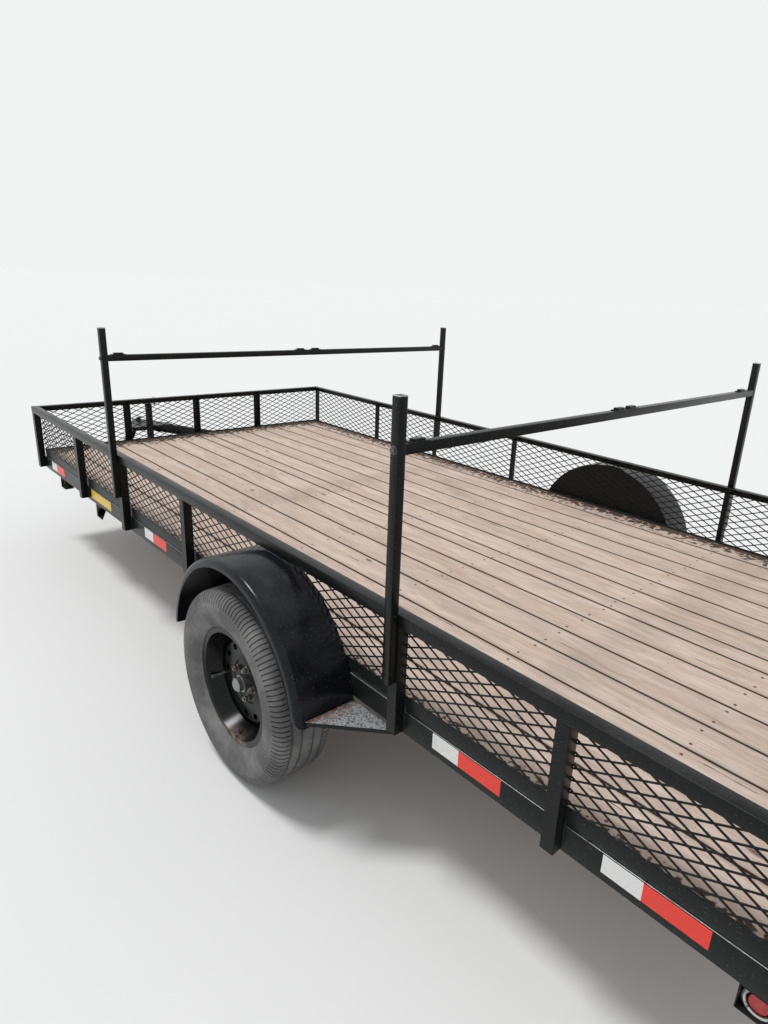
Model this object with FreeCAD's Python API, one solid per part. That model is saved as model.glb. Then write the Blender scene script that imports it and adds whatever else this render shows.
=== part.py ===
"""Single-axle utility trailer with expanded metal sides, a board deck, a ramp gate and a two-bar rack.

Frame: +X to the front, +Y to the trailer's left, +Z up, millimetres. The origin is on the ground,
midway between the coupler's nose and the closed gate. Distances called "back" are measured rearwards
from the front face of the bed.
"""
import FreeCAD
import Part
import math
import os
from collections import namedtuple

V = FreeCAD.Vector

# Bed
bed_length = 4877.0
bed_width = 2225.2
rail_top = 874.7
frame_bottom = 467.8

# Rolled angle sections: leg lengths and walls
rail_leg = 38.1
frame_leg = 76.2
frame_flange = 63.5
sill_leg = 50.8
sill_flange = 38.1
cross_flange = 38.0
wall = 4.8

# Deck boards: full ones and one ripped narrow
board_thickness = 38.1
full_boards = 14
narrow_board_place = 7
narrow_board_share = 0.6364
board_gap = 4.0
deck_edge_gap = 3.65
board_end_gap = 1.0
cross_member_count = 7

# Expanded metal: long and short way of the diamond, strand width, sheet
diamond_long = 76.2
diamond_short = 33.9
strand_width = 5.0
sheet = 1.35
sheet_gap = 0.3
mesh_lap = 12.0
mesh_margin = 6.0
slots_apart = 2

# Stakes: places as shares of the bed's length back from its front, and of its width across the front
Stake = namedtuple("Stake", "share carries_rack")
side_stakes = [
    Stake(share=0.17326, carries_rack=False),
    Stake(share=0.30818, carries_rack=True),
    Stake(share=0.45745, carries_rack=False),
    Stake(share=0.74144, carries_rack=True),
    Stake(share=0.85934, carries_rack=False),
]
front_stake_shares = [-0.23234, 0.0, 0.23234]
stake_bottom = 475.7

# Rack
upright_side = 28.6
upright_wall = 2.4
upright_top = 1485.7
upright_bottom = 654.7
upright_cap = 3.0
rack_bar_side = 28.6
rack_bar_wall = 2.4
rack_bar_top = 1359.7

# Running gear
axle_share = 0.6055
tyre_radius = 360.0
tyre_width = 225.0
tyre_gap = 12.2
tread_width = 178.0
bead_radius = 203.2
bead_gap = 0.3
rim_flange_radius = 219.5
rim_width = 165.0
rim_wall = 3.0
rim_well_radius = 182.0
disc_window_count = 12
disc_window_radius = 13.0
disc_window_circle = 131.0
disc_offset = 24.0
hub_bore_radius = 17.5
spindle_radius = 17.2
hub_nose_radius = 32.0
hub_flange_radius = 70.0
dust_cap_radius = 26.0
axle_tube_radius = 30.0
axle_drop = 68.0
axle_end_out = 12.2
spring_width = 44.0
spring_inset = 39.8
spring_span = 640.0
spring_leaf = 7.0
spring_leaves = [320.0, 250.0, 180.0, 110.0]
spring_eye_height = 396.0
eye_radius = 15.0
eye_bore = 8.3
pin_radius = 8.0
hanger_plate = 6.0
u_bolt_radius = 6.0

# Fenders
fender_radius = 442.0
fender_centre = 391.7
fender_width = 218.5
fender_sheet = 2.5
fender_roll = 22.0
fender_lip = 10.0
step_thickness = 3.0
step_height = 455.0
fender_bottom = 430.0
fender_end_round = 28.0
step_depth = 188.0

# Tongue, coupler and jack
ball_ahead = 1219.0
tongue_height = 76.2
tongue_flange = 38.0
tongue_wall = 5.0
tongue_reach_back = 976.0
tongue_nose_half = 38.0
tongue_end_ahead = 1099.0
ball_radius = 25.9
coupler_nose_radius = 38.0
coupler_plate = 6.0
coupler_lap = 130.0
jack_ahead = 919.0
jack_tube_radius = 28.5
jack_tube_wall = 3.0
jack_leg_radius = 25.2
jack_tube_bottom = 300.0
jack_tube_top = 664.0
jack_leg_top = 385.0
jack_foot = 150.0
jack_foot_thickness = 6.0
jack_plate = 8.0
crank_reach = 126.0

# Gate
gate_height = 1219.0
gate_tube = 38.1
gate_tube_wall = 2.6
gate_side_gap = 16.8
gate_gap = 7.0
gate_pivot_height = 538.8
gate_foot_above_pivot = 30.0
gate_post_count = 3
hinge_lug = 8.0
hinge_lug_radius = 14.0
hinge_side_gap = 2.0
hinge_shares = [-0.34154, 0.0, 0.34154]

# Lamps
side_lamp_share = 0.9592
front_marker_share = 0.07464
side_lamp_height = 436.8
side_lamp_radius = 30.0
side_lamp_guard = 50.0
lamp_guard_wall = 3.0
tail_lamp_share = 0.41794
tail_lamp_half = 72.0
tail_lamp_height = 503.8
tail_lamp_half_height = 22.0
tail_lamp_depth = 12.0

# Places worked out from the sizes above
gate_pivot_behind = gate_gap + gate_tube / 2
mesh_thickness = 2 * sheet + sheet_gap
x_back_of_gate = gate_pivot_behind + gate_tube / 2 + mesh_thickness
bed_front = (bed_length + x_back_of_gate - ball_ahead - coupler_nose_radius) / 2
bed_rear = bed_front - bed_length
side_out = bed_width / 2
side_in = side_out - rail_leg
sill_out = side_in - mesh_thickness
frame_top = frame_bottom + frame_leg
sill_top = frame_top + sill_leg
deck_bottom = frame_top + wall
deck_top = deck_bottom + board_thickness
rail_bottom = rail_top - rail_leg
front_in = bed_front - rail_leg
sill_front_out = front_in - mesh_thickness
axle_x = bed_front - axle_share * bed_length
tyre_plane = side_in + tyre_gap + tyre_width / 2
axle_end = side_in + axle_end_out
spring_plane = side_in - spring_inset
fender_outer = side_in + fender_width
gate_half_width = side_in - gate_side_gap
hinge_places = [share * bed_width for share in hinge_shares]
tail_lamp_y = tail_lamp_share * bed_width
side_lamp_back = side_lamp_share * bed_length
front_marker_back = front_marker_share * bed_length
deck_half = sill_out - wall - deck_edge_gap
board_width = (2 * deck_half - full_boards * board_gap) / (full_boards + narrow_board_share)
axle_height = tyre_radius
beam_height = axle_height - axle_drop
gate_pivot_x = bed_rear - gate_pivot_behind
SIDES = {"left": 1, "right": -1}


def box(x0, x1, y0, y1, z0, z1):
    """Box between two corners."""
    return Part.makeBox(x1 - x0, y1 - y0, z1 - z0, V(x0, y0, z0))


def prism(points, run):
    """Straight extrusion of a closed outline of vectors along the vector run."""
    return Part.Face(Part.makePolygon(points + [points[0]])).extrude(run)


def angle_iron(corner, run, leg_a, leg_b, thickness=wall):
    """Angle section: outer corner line, length, and the two legs as vectors."""
    wa = V(leg_a).normalize() * thickness
    wb = V(leg_b).normalize() * thickness
    outline = [corner, corner + leg_a, corner + leg_a + wb, corner + wa + wb, corner + wa + leg_b,
               corner + leg_b]
    return prism(outline, run)


def rod(start, run, radius):
    """Round bar from start along run."""
    return Part.makeCylinder(radius, run.Length, start, run)


def ring(points, centre):
    """Solid turned about the Y axis through centre, from (offset along Y, radius) points."""
    outline = [V(centre.x, centre.y + offset, centre.z + radius) for offset, radius in points]
    face = Part.Face(Part.makePolygon(outline + [outline[0]]))
    return face.revolve(centre, V(0, 1, 0), 360)


def fused(pieces):
    """One solid from pieces that meet."""
    whole = pieces[0]
    for piece in pieces[1:]:
        whole = whole.fuse(piece)
    return whole.removeSplitter()


def apart(pieces):
    """Several solids that belong to one sub-part."""
    return Part.makeCompound(pieces)


def other_side(shape):
    """The same piece on the trailer's right."""
    return shape.mirror(V(0, 0, 0), V(0, 1, 0))


def on_side(shape, side):
    """A piece drawn on the left, for the side asked for."""
    return shape if SIDES[side] > 0 else other_side(shape)


def both_sides(shape):
    """A piece drawn on the left and its mirror image."""
    return [shape, other_side(shape)]


def frame_rail():
    """Lower side angle: upright leg outside, flange inwards under the cross members."""
    corner = V(bed_rear + wall, side_in, frame_bottom)
    return angle_iron(corner, V(front_in - bed_rear - wall, 0, 0), V(0, -frame_flange, 0), V(0, 0, frame_leg))


def frame_header_front():
    """Lower front angle between the side angles."""
    inside = side_in - frame_flange
    across = side_in - wall
    low = box(front_in - wall, front_in, -inside, inside, frame_bottom, frame_bottom + wall)
    upright = box(front_in - wall, front_in, -across, across, frame_bottom + wall, frame_top)
    flange = box(front_in - frame_flange, front_in - wall, -inside, inside, frame_bottom, frame_bottom + wall)
    return fused([upright, low, flange])


def frame_header_rear():
    """Rear plate with a bottom flange, a ledge under the board ends, and the gate's hinge lugs and pins."""
    back = box(bed_rear, bed_rear + wall, -side_in, side_in, frame_bottom, deck_top)
    inside = side_in - frame_flange
    flange = box(bed_rear + wall, bed_rear + frame_flange, -inside, inside, frame_bottom, frame_bottom + wall)
    ledge_y = sill_out - sill_flange
    ledge = box(bed_rear + wall, bed_rear + sill_flange, -ledge_y, ledge_y, frame_top, deck_bottom)
    pieces = [back, flange, ledge]
    for place in hinge_places:
        lugs = []
        for side in (-1, 1):
            inner = place + side * (hinge_lug / 2 + hinge_side_gap)
            y0 = min(inner, inner + side * hinge_lug)
            lugs.append(hinge_plate(y0, True))
        pin_half = hinge_lug * 1.5 + hinge_side_gap
        pin = rod(V(gate_pivot_x, place - pin_half, gate_pivot_height), V(0, 2 * pin_half, 0), pin_radius)
        pieces += lugs + [pin]
    return fused(pieces)


def hinge_plate(y0, fixed):
    """Hinge lug on the gate's axis: fixed ones reach forwards to the frame, the gate's up to its foot."""
    eye = rod(V(gate_pivot_x, y0, gate_pivot_height), V(0, hinge_lug, 0), hinge_lug_radius)
    if fixed:
        web = box(gate_pivot_x, bed_rear, y0, y0 + hinge_lug, gate_pivot_height - hinge_lug_radius,
                  gate_pivot_height + hinge_lug_radius)
        return fused([eye, web])
    web = box(gate_pivot_x - hinge_lug_radius, gate_pivot_x + hinge_lug_radius, y0, y0 + hinge_lug,
              gate_pivot_height, gate_pivot_height + gate_foot_above_pivot)
    bore = rod(V(gate_pivot_x, y0, gate_pivot_height), V(0, hinge_lug, 0), eye_bore)
    return fused([eye, web]).cut(bore)


def sill_side():
    """Upper side angle that stands on the lower one and holds the deck's edge."""
    corner = V(bed_rear + wall, sill_out, frame_top)
    return angle_iron(corner, V(sill_front_out - bed_rear - wall, 0, 0), V(0, -sill_flange, 0),
                      V(0, 0, sill_leg))


def sill_front():
    """Upper front angle between the side sills."""
    inner = sill_out - wall
    inside = sill_out - sill_flange
    low = box(sill_front_out - wall, sill_front_out, -inside, inside, frame_top, deck_bottom)
    upright = box(sill_front_out - wall, sill_front_out, -inner, inner, deck_bottom, sill_top)
    flange = box(sill_front_out - sill_flange, sill_front_out - wall, -inside, inside, frame_top, deck_bottom)
    return fused([upright, low, flange])


def cross_members():
    """Angles across the frame, standing on the side flanges, with their top flanges under the boards."""
    half = sill_out - sill_flange
    pitch = bed_length / (cross_member_count + 1)
    foot = frame_bottom + wall
    pieces = []
    for place in range(1, cross_member_count + 1):
        corner = V(bed_front - place * pitch, -half, deck_bottom)
        upright = V(0, 0, foot - deck_bottom)
        pieces.append(angle_iron(corner, V(0, 2 * half, 0), V(-cross_flange, 0, 0), upright))
    return apart(pieces)


def deck_boards():
    """Lengthwise boards from side sill to side sill, the middle one ripped narrow."""
    x0 = bed_rear + wall + board_end_gap
    x1 = sill_front_out - wall - board_end_gap
    pieces = []
    y1 = deck_half
    for place in range(full_boards + 1):
        width = board_width * narrow_board_share if place == narrow_board_place else board_width
        pieces.append(box(x0, x1, y1 - width, y1, deck_bottom, deck_top))
        y1 -= width + board_gap
    return apart(pieces)


def top_rail_side():
    """Top side angle: one leg flat on top, one down outside."""
    corner = V(bed_rear, side_out, rail_top)
    return angle_iron(corner, V(bed_length, 0, 0), V(0, -rail_leg, 0), V(0, 0, -rail_leg))


def top_rail_front():
    """Top front angle, coped round the side rails at both corners."""
    full = side_out - wall
    upright = box(bed_front - wall, bed_front, -full, full, rail_bottom, rail_top - wall)
    flat = box(bed_front - rail_leg, bed_front, -side_in, side_in, rail_top - wall, rail_top)
    return fused([upright, flat])


def side_stake(back):
    """Angle stake: outer leg flush with the rail, the other leg inwards at the rear, coped under the rail."""
    x = bed_front - back - rail_leg / 2
    post = angle_iron(V(x, side_out, stake_bottom), V(0, 0, rail_bottom - stake_bottom), V(rail_leg, 0, 0),
                      V(0, -rail_leg, 0))
    cope = box(x, x + wall, side_in, side_out - wall, rail_bottom, rail_top - wall)
    return fused([post, cope])


def stakes_side():
    """All stakes of the left side, the first and last at the bed's corners."""
    corners = [wall + rail_leg / 2, bed_length - rail_leg / 2]
    between = [row.share * bed_length for row in side_stakes]
    return apart([side_stake(back) for back in corners[:1] + between + corners[1:]])


def stakes_front():
    """Stakes of the front panel."""
    pieces = []
    for share in front_stake_shares:
        y = share * bed_width
        corner = V(bed_front, y - rail_leg / 2, stake_bottom)
        post = angle_iron(corner, V(0, 0, rail_bottom - stake_bottom), V(0, rail_leg, 0), V(-rail_leg, 0, 0))
        cope = box(front_in, bed_front - wall, y - rail_leg / 2, y - rail_leg / 2 + wall, rail_bottom,
                   rail_top - wall)
        pieces.append(fused([post, cope]))
    return apart(pieces)


def strand_sheet(length, height, rise):
    """Flat sheet in the XZ plane cut into parallel slanted strands that run up (rise 1) or down (-1)."""
    low, high = mesh_margin, height - mesh_margin
    pitch = diamond_long * slots_apart
    gap = pitch - strand_width * slots_apart * math.hypot(diamond_long, diamond_short) / diamond_short
    lean = (high - low) * diamond_long / diamond_short * rise
    outer = Part.makePolygon([V(0, 0, 0), V(length, 0, 0), V(length, 0, height), V(0, 0, height), V(0, 0, 0)])
    clip_low, clip_high = mesh_margin, length - mesh_margin
    holes = []
    first = math.floor(min(0.0, -lean) / pitch)
    last = math.ceil(max(length, length - lean) / pitch)
    for place in range(first, last + 1):
        start = place * pitch
        slot = clipped_slot(start, gap, lean, low, high, clip_low, clip_high)
        if slot:
            holes.append(slot)
    face = Part.makeFace([outer] + holes, "Part::FaceMakerBullseye")
    return face.extrude(V(0, sheet, 0))


def clipped_slot(start, gap, lean, low, high, left, right):
    """Slot outline between the margins, or None where nothing of use is left of it."""
    corners = [(start, low), (start + gap, low), (start + gap + lean, high), (start + lean, high)]
    for limit, sign in ((left, 1), (right, -1)):
        corners = cut_outline(corners, limit, sign)
        if len(corners) < 3:
            return None
    area = 0.0
    for (xa, za), (xb, zb) in zip(corners, corners[1:] + corners[:1]):
        area += xa * zb - xb * za
    if abs(area) / 2 < diamond_short * diamond_short:
        return None
    points = []
    for x, z in corners:
        if not points or (V(x, 0, z) - points[-1]).Length > 0.05:
            points.append(V(x, 0, z))
    return Part.makePolygon(points + [points[0]])


def cut_outline(corners, limit, sign):
    """Outline cut at x = limit, keeping the side where sign * (x - limit) is positive."""
    kept = []
    for (xa, za), (xb, zb) in zip(corners, corners[1:] + corners[:1]):
        inside_a = sign * (xa - limit) >= 0
        inside_b = sign * (xb - limit) >= 0
        if inside_a:
            kept.append((xa, za))
        if inside_a != inside_b:
            share = (limit - xa) / (xb - xa)
            kept.append((limit, za + share * (zb - za)))
    return kept


def expanded_panel(length, height):
    """Expanded metal as two sheets of crossing strands, from the origin along +X and +Z, depth along +Y."""
    outer = strand_sheet(length, height, -1)
    outer.translate(V(0, sheet + sheet_gap, 0))
    return apart([strand_sheet(length, height, 1), outer])


def mesh_side():
    """Side panel behind the rail and the stakes, lapping the sill."""
    bottom = sill_top - mesh_lap
    length = front_in - mesh_thickness - board_end_gap - bed_rear - wall
    panel = expanded_panel(length, rail_top - board_end_gap - bottom)
    panel.translate(V(bed_rear + wall, sill_out, bottom))
    return panel


def mesh_front():
    """Front panel, turned across the trailer."""
    bottom = sill_top - mesh_lap
    width = 2 * (sill_out - sheet_gap)
    panel = expanded_panel(width, rail_top - board_end_gap - bottom)
    panel.rotate(V(0, 0, 0), V(0, 0, 1), -90)
    panel.translate(V(sill_front_out, width / 2, bottom))
    return panel


def fender():
    """Rolled fender turned as one pan: turned-down outer edge, rounded lower corners and a flat back."""
    flat_end = fender_outer - fender_roll
    corner_y = fender_outer - fender_roll * 0.3
    corner_r = fender_radius - fender_roll * 0.3
    edge_r = fender_radius - fender_roll
    top = fender_radius
    t = fender_sheet
    back = side_in + t
    points = [(side_in, 0), (side_in, top), (flat_end, top), (corner_y, corner_r), (fender_outer, edge_r),
              (fender_outer, edge_r - fender_lip), (fender_outer - t, edge_r - fender_lip),
              (fender_outer - t, edge_r), (corner_y - t * 0.7, corner_r - t * 0.7), (flat_end, top - t),
              (back, top - t), (back, 0)]
    pan = ring(points, V(axle_x, 0, fender_centre))
    reach = 2 * fender_radius
    upper = box(axle_x - reach, axle_x + reach, 0, side_out * 2, fender_bottom, fender_centre + reach)
    return pan.common(upper).cut(lower_corner_cutter())


def lower_corner_cutter():
    """Bar along the trailer that takes the square corner off the fender's lower outer ends in four facets."""
    r = fender_end_round
    x0 = axle_x - 2 * fender_radius
    centre_y, centre_z = fender_outer + 0.7 - r, fender_bottom - 0.7 + r
    outline = [V(x0, fender_outer + 20, fender_bottom - 20), V(x0, fender_outer + 20, centre_z)]
    for step in range(5):
        angle = math.pi / 2 * step / 4
        outline.append(V(x0, centre_y + r * math.cos(angle), centre_z - r * math.sin(angle)))
    outline.append(V(x0, centre_y, fender_bottom - 20))
    return prism(outline, V(4 * fender_radius, 0, 0))


def fender_step():
    """Three-cornered tread plate in the corner between the fender's rear and the next stake."""
    level = step_height - step_thickness - fender_centre
    at_fender = axle_x - math.sqrt(fender_radius ** 2 - level ** 2)
    behind = min(row.share for row in side_stakes if row.share > axle_share)
    stake_x = bed_front - behind * bed_length + rail_leg / 2
    outline = [V(at_fender, side_in, step_height), V(stake_x, side_in, step_height),
               V(at_fender, side_in + step_depth, step_height)]
    return prism(outline, V(0, 0, -step_thickness))


def axle_beam():
    """Round drop axle: low tube, upright ends and turned spindles."""
    end_y = axle_end
    tube = rod(V(axle_x, -end_y, beam_height), V(0, 2 * end_y, 0), axle_tube_radius)
    pieces = [tube]
    end_width = 24.0
    spindle_end = tyre_plane + 38.0
    for side in (1, -1):
        y0 = min(side * (end_y - end_width / 2), side * (end_y + end_width / 2))
        drop = box(axle_x - axle_tube_radius, axle_x + axle_tube_radius, y0, y0 + end_width,
                   beam_height - axle_tube_radius, axle_height + axle_tube_radius)
        start = V(axle_x, side * end_y, axle_height)
        pieces += [drop, rod(start, V(0, side * (spindle_end - end_y), 0), spindle_radius)]
    return fused(pieces)


def leaf_spring():
    """Leaf pack on top of the axle tube: each leaf an arc, the longest with an eye at each end."""
    seat = beam_height + axle_tube_radius
    half = spring_span / 2
    low = seat + spring_leaf * (len(spring_leaves) - 0.5)
    sag = spring_eye_height - low
    bend = (half * half + sag * sag) / (2 * sag)
    centre_z = low + bend
    y0 = spring_plane - spring_width / 2
    pieces = []
    for place, reach in enumerate(spring_leaves):
        inner = bend + (place - 0.5) * spring_leaf
        outer = inner + spring_leaf
        pieces.append(arc_strip(inner, outer, reach, centre_z, y0))
    for end in (-1, 1):
        at = V(axle_x + end * half, y0, spring_eye_height)
        pieces.append(rod(at, V(0, spring_width, 0), eye_radius))
    pack = fused(pieces)
    for end in (-1, 1):
        at = V(axle_x + end * half, y0, spring_eye_height)
        pack = pack.cut(rod(at, V(0, spring_width, 0), eye_bore))
    return pack


def arc_strip(inner, outer, reach, centre_z, y0):
    """One leaf: the strip between two arcs about a point above the axle, extruded across its width."""
    angle = math.asin(reach / inner)

    def at(radius, turn):
        return V(axle_x + radius * math.sin(turn), y0, centre_z - radius * math.cos(turn))

    edges = [Part.Arc(at(inner, -angle), at(inner, 0), at(inner, angle)).toShape(),
             Part.LineSegment(at(inner, angle), at(outer, angle)).toShape(),
             Part.Arc(at(outer, angle), at(outer, 0), at(outer, -angle)).toShape(),
             Part.LineSegment(at(outer, -angle), at(inner, -angle)).toShape()]
    return Part.Face(Part.Wire(edges)).extrude(V(0, spring_width, 0))


def spring_hangers():
    """Front hanger and rear hanger with shackle, each with its pins, on the side angle's flange."""
    half = spring_span / 2
    y_in = spring_plane - spring_width / 2
    y_out = spring_plane + spring_width / 2
    gap = 1.0
    front_x = axle_x + half
    rear_x = axle_x - half
    upper = V(rear_x - 30.0, 0, spring_eye_height + 30.0)
    pin_y0 = y_in - gap - 2 * hanger_plate
    pin_length = spring_width + 2 * gap + 4 * hanger_plate
    front = [rod(V(front_x, pin_y0, spring_eye_height), V(0, pin_length, 0), pin_radius)]
    rear = [rod(V(rear_x, pin_y0, spring_eye_height), V(0, pin_length, 0), pin_radius),
            rod(V(upper.x, pin_y0, upper.z), V(0, pin_length, 0), pin_radius)]
    for y0 in (y_in - gap - hanger_plate, y_out + gap):
        ear_low = spring_eye_height - 22
        front.append(box(front_x - 28, front_x + 28, y0, y0 + hanger_plate, ear_low, frame_bottom))
        link = V(rear_x, y0, spring_eye_height), V(upper.x, y0, upper.z)
        rear.append(link_plate(link[0], link[1], 13.0))
    for y0 in (y_in - gap - 2 * hanger_plate, y_out + gap + hanger_plate):
        rear.append(box(upper.x - 20, upper.x + 20, y0, y0 + hanger_plate, upper.z - 14, frame_bottom))
    bridge = box(upper.x - 20, upper.x + 20, y_in - gap - 2 * hanger_plate, y_out + gap + 2 * hanger_plate,
                 frame_bottom - wall, frame_bottom)
    rear.append(bridge)
    top = box(front_x - 28, front_x + 28, y_in - gap - hanger_plate, y_out + gap + hanger_plate,
              frame_bottom - wall, frame_bottom)
    front.append(top)
    return [fused(front), fused(rear)]


def link_plate(a, b, radius):
    """Flat link with round ends between two pin centres, its thickness along +Y."""
    run = b - a
    across = V(-run.z, 0, run.x).normalize() * radius
    web = prism([a + across, b + across, b - across, a - across], V(0, hanger_plate, 0))
    depth = V(0, hanger_plate, 0)
    return fused([web, rod(a, depth, radius), rod(b, depth, radius)])


def axle_clamp():
    """Top plate and two U-bolts that clamp the spring to the axle tube."""
    seat = beam_height + axle_tube_radius + spring_leaf * len(spring_leaves) + 1.3
    leg_x = axle_tube_radius + u_bolt_radius + 0.4
    leg_y = spring_width / 2 + u_bolt_radius + 0.6
    half_x, half_y = leg_x + 11.0, leg_y + 10.0
    pieces = [box(axle_x - half_x, axle_x + half_x, spring_plane - half_y, spring_plane + half_y, seat,
                  seat + 9.0)]
    for y in (spring_plane - leg_y, spring_plane + leg_y):
        for side in (-1, 1):
            foot = V(axle_x + side * leg_x, y, beam_height)
            pieces.append(rod(foot, V(0, 0, seat + 22.0 - beam_height), u_bolt_radius))
        bend = Part.makeTorus(leg_x, u_bolt_radius, V(axle_x, y, beam_height), V(0, 1, 0))
        below = box(axle_x - 60, axle_x + 60, y - 20, y + 20, beam_height - 60, beam_height)
        pieces.append(bend.common(below))
    return fused(pieces)


def wheel_centre(side):
    """Middle of a wheel on the axle line."""
    return V(axle_x, SIDES[side] * tyre_plane, axle_height)


def tyre(side):
    """Tyre as one turned ring with a flat tread and rounded shoulders."""
    seat = bead_radius + bead_gap
    bead = rim_width / 2 - 8.0 - bead_gap
    half = tyre_width / 2
    above = rim_flange_radius + 1.5
    right = [(bead, seat), (bead, above), (half, above + 38), (half, tyre_radius - 48),
             (tread_width / 2, tyre_radius)]
    left = [(-offset, radius) for offset, radius in reversed(right)]
    return ring(right + left, wheel_centre(side))


def rim(side):
    """Pressed steel wheel: barrel with a drop centre and a dished disc with a ring of windows."""
    out = SIDES[side]
    half = rim_width / 2
    w = rim_wall
    seat, flange, well = bead_radius, rim_flange_radius, rim_well_radius
    barrel = [(-half, flange), (-half + 8, flange), (-half + 8, seat), (-22, well), (22, well),
              (half - 8, seat), (half - 8, flange), (half, flange), (half, seat - w), (24, well - w),
              (-24, well - w), (-half, seat - w)]
    centre = wheel_centre(side)
    pieces = [ring(barrel, centre)]
    face = disc_offset
    dish = [(face, hub_nose_radius + 1), (face, 74), (face - 3, 84), (face, 104), (face, 148),
            (-4, well - w + 0.5), (0, well - w + 0.5), (face + 4, 150), (face + 4, 103), (face + 1, 84),
            (face + 4, 73), (face + 4, hub_nose_radius + 1)]
    disc = [(offset * out, radius) for offset, radius in dish]
    pieces.append(ring(disc, centre))
    whole = fused(pieces)
    cutters = []
    for place in range(disc_window_count):
        turn = 2 * math.pi * place / disc_window_count
        arm = V(math.cos(turn), 0, math.sin(turn)) * disc_window_circle
        cutters.append(window_cutter(centre + arm, turn))
    return whole.cut(Part.makeCompound(cutters))


def window_cutter(at, turn):
    """Eight-sided oval prism through the disc, longer round the wheel than across."""
    along, across = disc_window_radius * 1.25, disc_window_radius
    points = []
    for step in range(8):
        angle = math.pi * (step + 0.5) / 4
        x = across * math.cos(angle)
        z = along * math.sin(angle)
        points.append(V(at.x + x * math.cos(turn) - z * math.sin(turn), at.y - 40,
                        at.z + x * math.sin(turn) + z * math.cos(turn)))
    return prism(points, V(0, 80, 0))


def hub(side):
    """Hub barrel, wheel flange, nose through the disc and pressed-on dust cap, bored for the spindle."""
    out = SIDES[side]
    back = -90.0
    face = disc_offset
    cap = 70.0
    profile = [(back, hub_bore_radius), (back, 36), (face - 14, 36), (face - 14, hub_flange_radius),
               (face, hub_flange_radius), (face, hub_nose_radius), (face + 22, hub_nose_radius),
               (face + 22, dust_cap_radius), (cap - 6, dust_cap_radius), (cap, dust_cap_radius - 8), (cap, 0),
               (44, 0), (44, hub_bore_radius)]
    return ring([(offset * out, radius) for offset, radius in profile], wheel_centre(side))


def tongue_beam():
    """Channel from the coupler back to the side angle, under the frame: web outside, flanges inwards."""
    nose = V(bed_front + ball_ahead, tongue_nose_half, 0)
    tail = V(bed_front - tongue_reach_back, side_in, 0)
    run = tail - nose
    unit = V(run).normalize()
    outward = V(-unit.y, unit.x, 0) * -1
    z0, z1 = frame_bottom - tongue_height, frame_bottom
    start = nose - unit * 200
    end = tail + unit * 200

    def strip(a, b, low, high):
        outline = [start - outward * a, end - outward * a, end - outward * b, start - outward * b]
        return prism([V(p.x, p.y, low) for p in outline], V(0, 0, high - low))

    channel = fused([strip(0, tongue_wall, z0, z1), strip(tongue_wall, tongue_flange, z0, z0 + tongue_wall),
                     strip(tongue_wall, tongue_flange, z1 - tongue_wall, z1)])
    keep = box(bed_front - bed_length / 2, bed_front + tongue_end_ahead, 0.5, side_in, z0 - 1, z1 + 1)
    return channel.common(keep)


def tongue_half(ahead):
    """Half width over the tongue channels at a distance ahead of the bed."""
    slope = (side_in - tongue_nose_half) / (ball_ahead + tongue_reach_back)
    return tongue_nose_half + (ball_ahead - ahead) * slope


def coupler():
    """Ball coupler: flared plate over the channel ends, neck and nose with the ball's socket below."""
    x_ball = bed_front + ball_ahead
    x_end = bed_front + tongue_end_ahead
    x_plate = x_end - coupler_lap
    wide, narrow, nose_half = tongue_half(tongue_end_ahead - coupler_lap), tongue_half(tongue_end_ahead), 36.0
    z = frame_bottom
    plate = prism([V(x_plate, -wide, z), V(x_plate, wide, z), V(x_end, narrow, z), V(x_ball, nose_half, z),
                   V(x_ball, -nose_half, z), V(x_end, -narrow, z)], V(0, 0, coupler_plate))
    neck = box(x_end, x_ball, -32, 32, z - 52, z)
    skirt = box(x_end, x_end + 8, 6 - narrow, narrow - 6, z - tongue_height, z)
    nose = rod(V(x_ball, 0, z - 56), V(0, 0, 56 + coupler_plate), coupler_nose_radius)
    body = fused([plate, neck, skirt, nose])
    ball_z = z - 30.0
    socket = Part.makeSphere(ball_radius, V(x_ball, 0, ball_z))
    mouth = rod(V(x_ball, 0, ball_z - 40), V(0, 0, 40), ball_radius)
    return body.cut(fused([socket, mouth]))


def coupler_latch():
    """Latch lever on top of the coupler."""
    x_ball = bed_front + ball_ahead
    z = frame_bottom + coupler_plate
    pivot = box(x_ball - 62, x_ball - 30, -14, 14, z, z + 24)
    lever = prism([V(x_ball - 52, -9, z + 24), V(x_ball - 30, -9, z + 24), V(x_ball - 116, -9, z + 46),
                   V(x_ball - 122, -9, z + 38)], V(0, 18, 0))
    return fused([pivot, lever])


def jack_tube():
    """Jack's outer tube through a plate that lies across the tongue channels."""
    x = bed_front + jack_ahead
    reach = tongue_half(jack_ahead)
    height = jack_tube_top - jack_tube_bottom
    outer = rod(V(x, 0, jack_tube_bottom), V(0, 0, height), jack_tube_radius)
    plate = box(x - 50, x + 50, -reach, reach, frame_bottom, frame_bottom + jack_plate)
    body = fused([outer, plate])
    inner = rod(V(x, 0, jack_tube_bottom), V(0, 0, height - 10), jack_tube_radius - jack_tube_wall)
    return body.cut(inner)


def jack_leg():
    """Jack's inner leg and foot plate, standing on the ground."""
    x = bed_front + jack_ahead
    leg = rod(V(x, 0, 0), V(0, 0, jack_leg_top), jack_leg_radius)
    foot = box(x - jack_foot / 2, x + jack_foot / 2, -jack_foot / 2, jack_foot / 2, 0, jack_foot_thickness)
    return fused([leg, foot])


def jack_crank():
    """Crank on top of the jack: collar, arm and upright grip."""
    x = bed_front + jack_ahead
    z = jack_tube_top
    collar = rod(V(x, 0, z), V(0, 0, 22), 14)
    arm = box(x - crank_reach - 9, x + 10, -8, 8, z + 8, z + 18)
    grip = rod(V(x - crank_reach, 0, z + 12), V(0, 0, 60), 9)
    return fused([collar, arm, grip])


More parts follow.
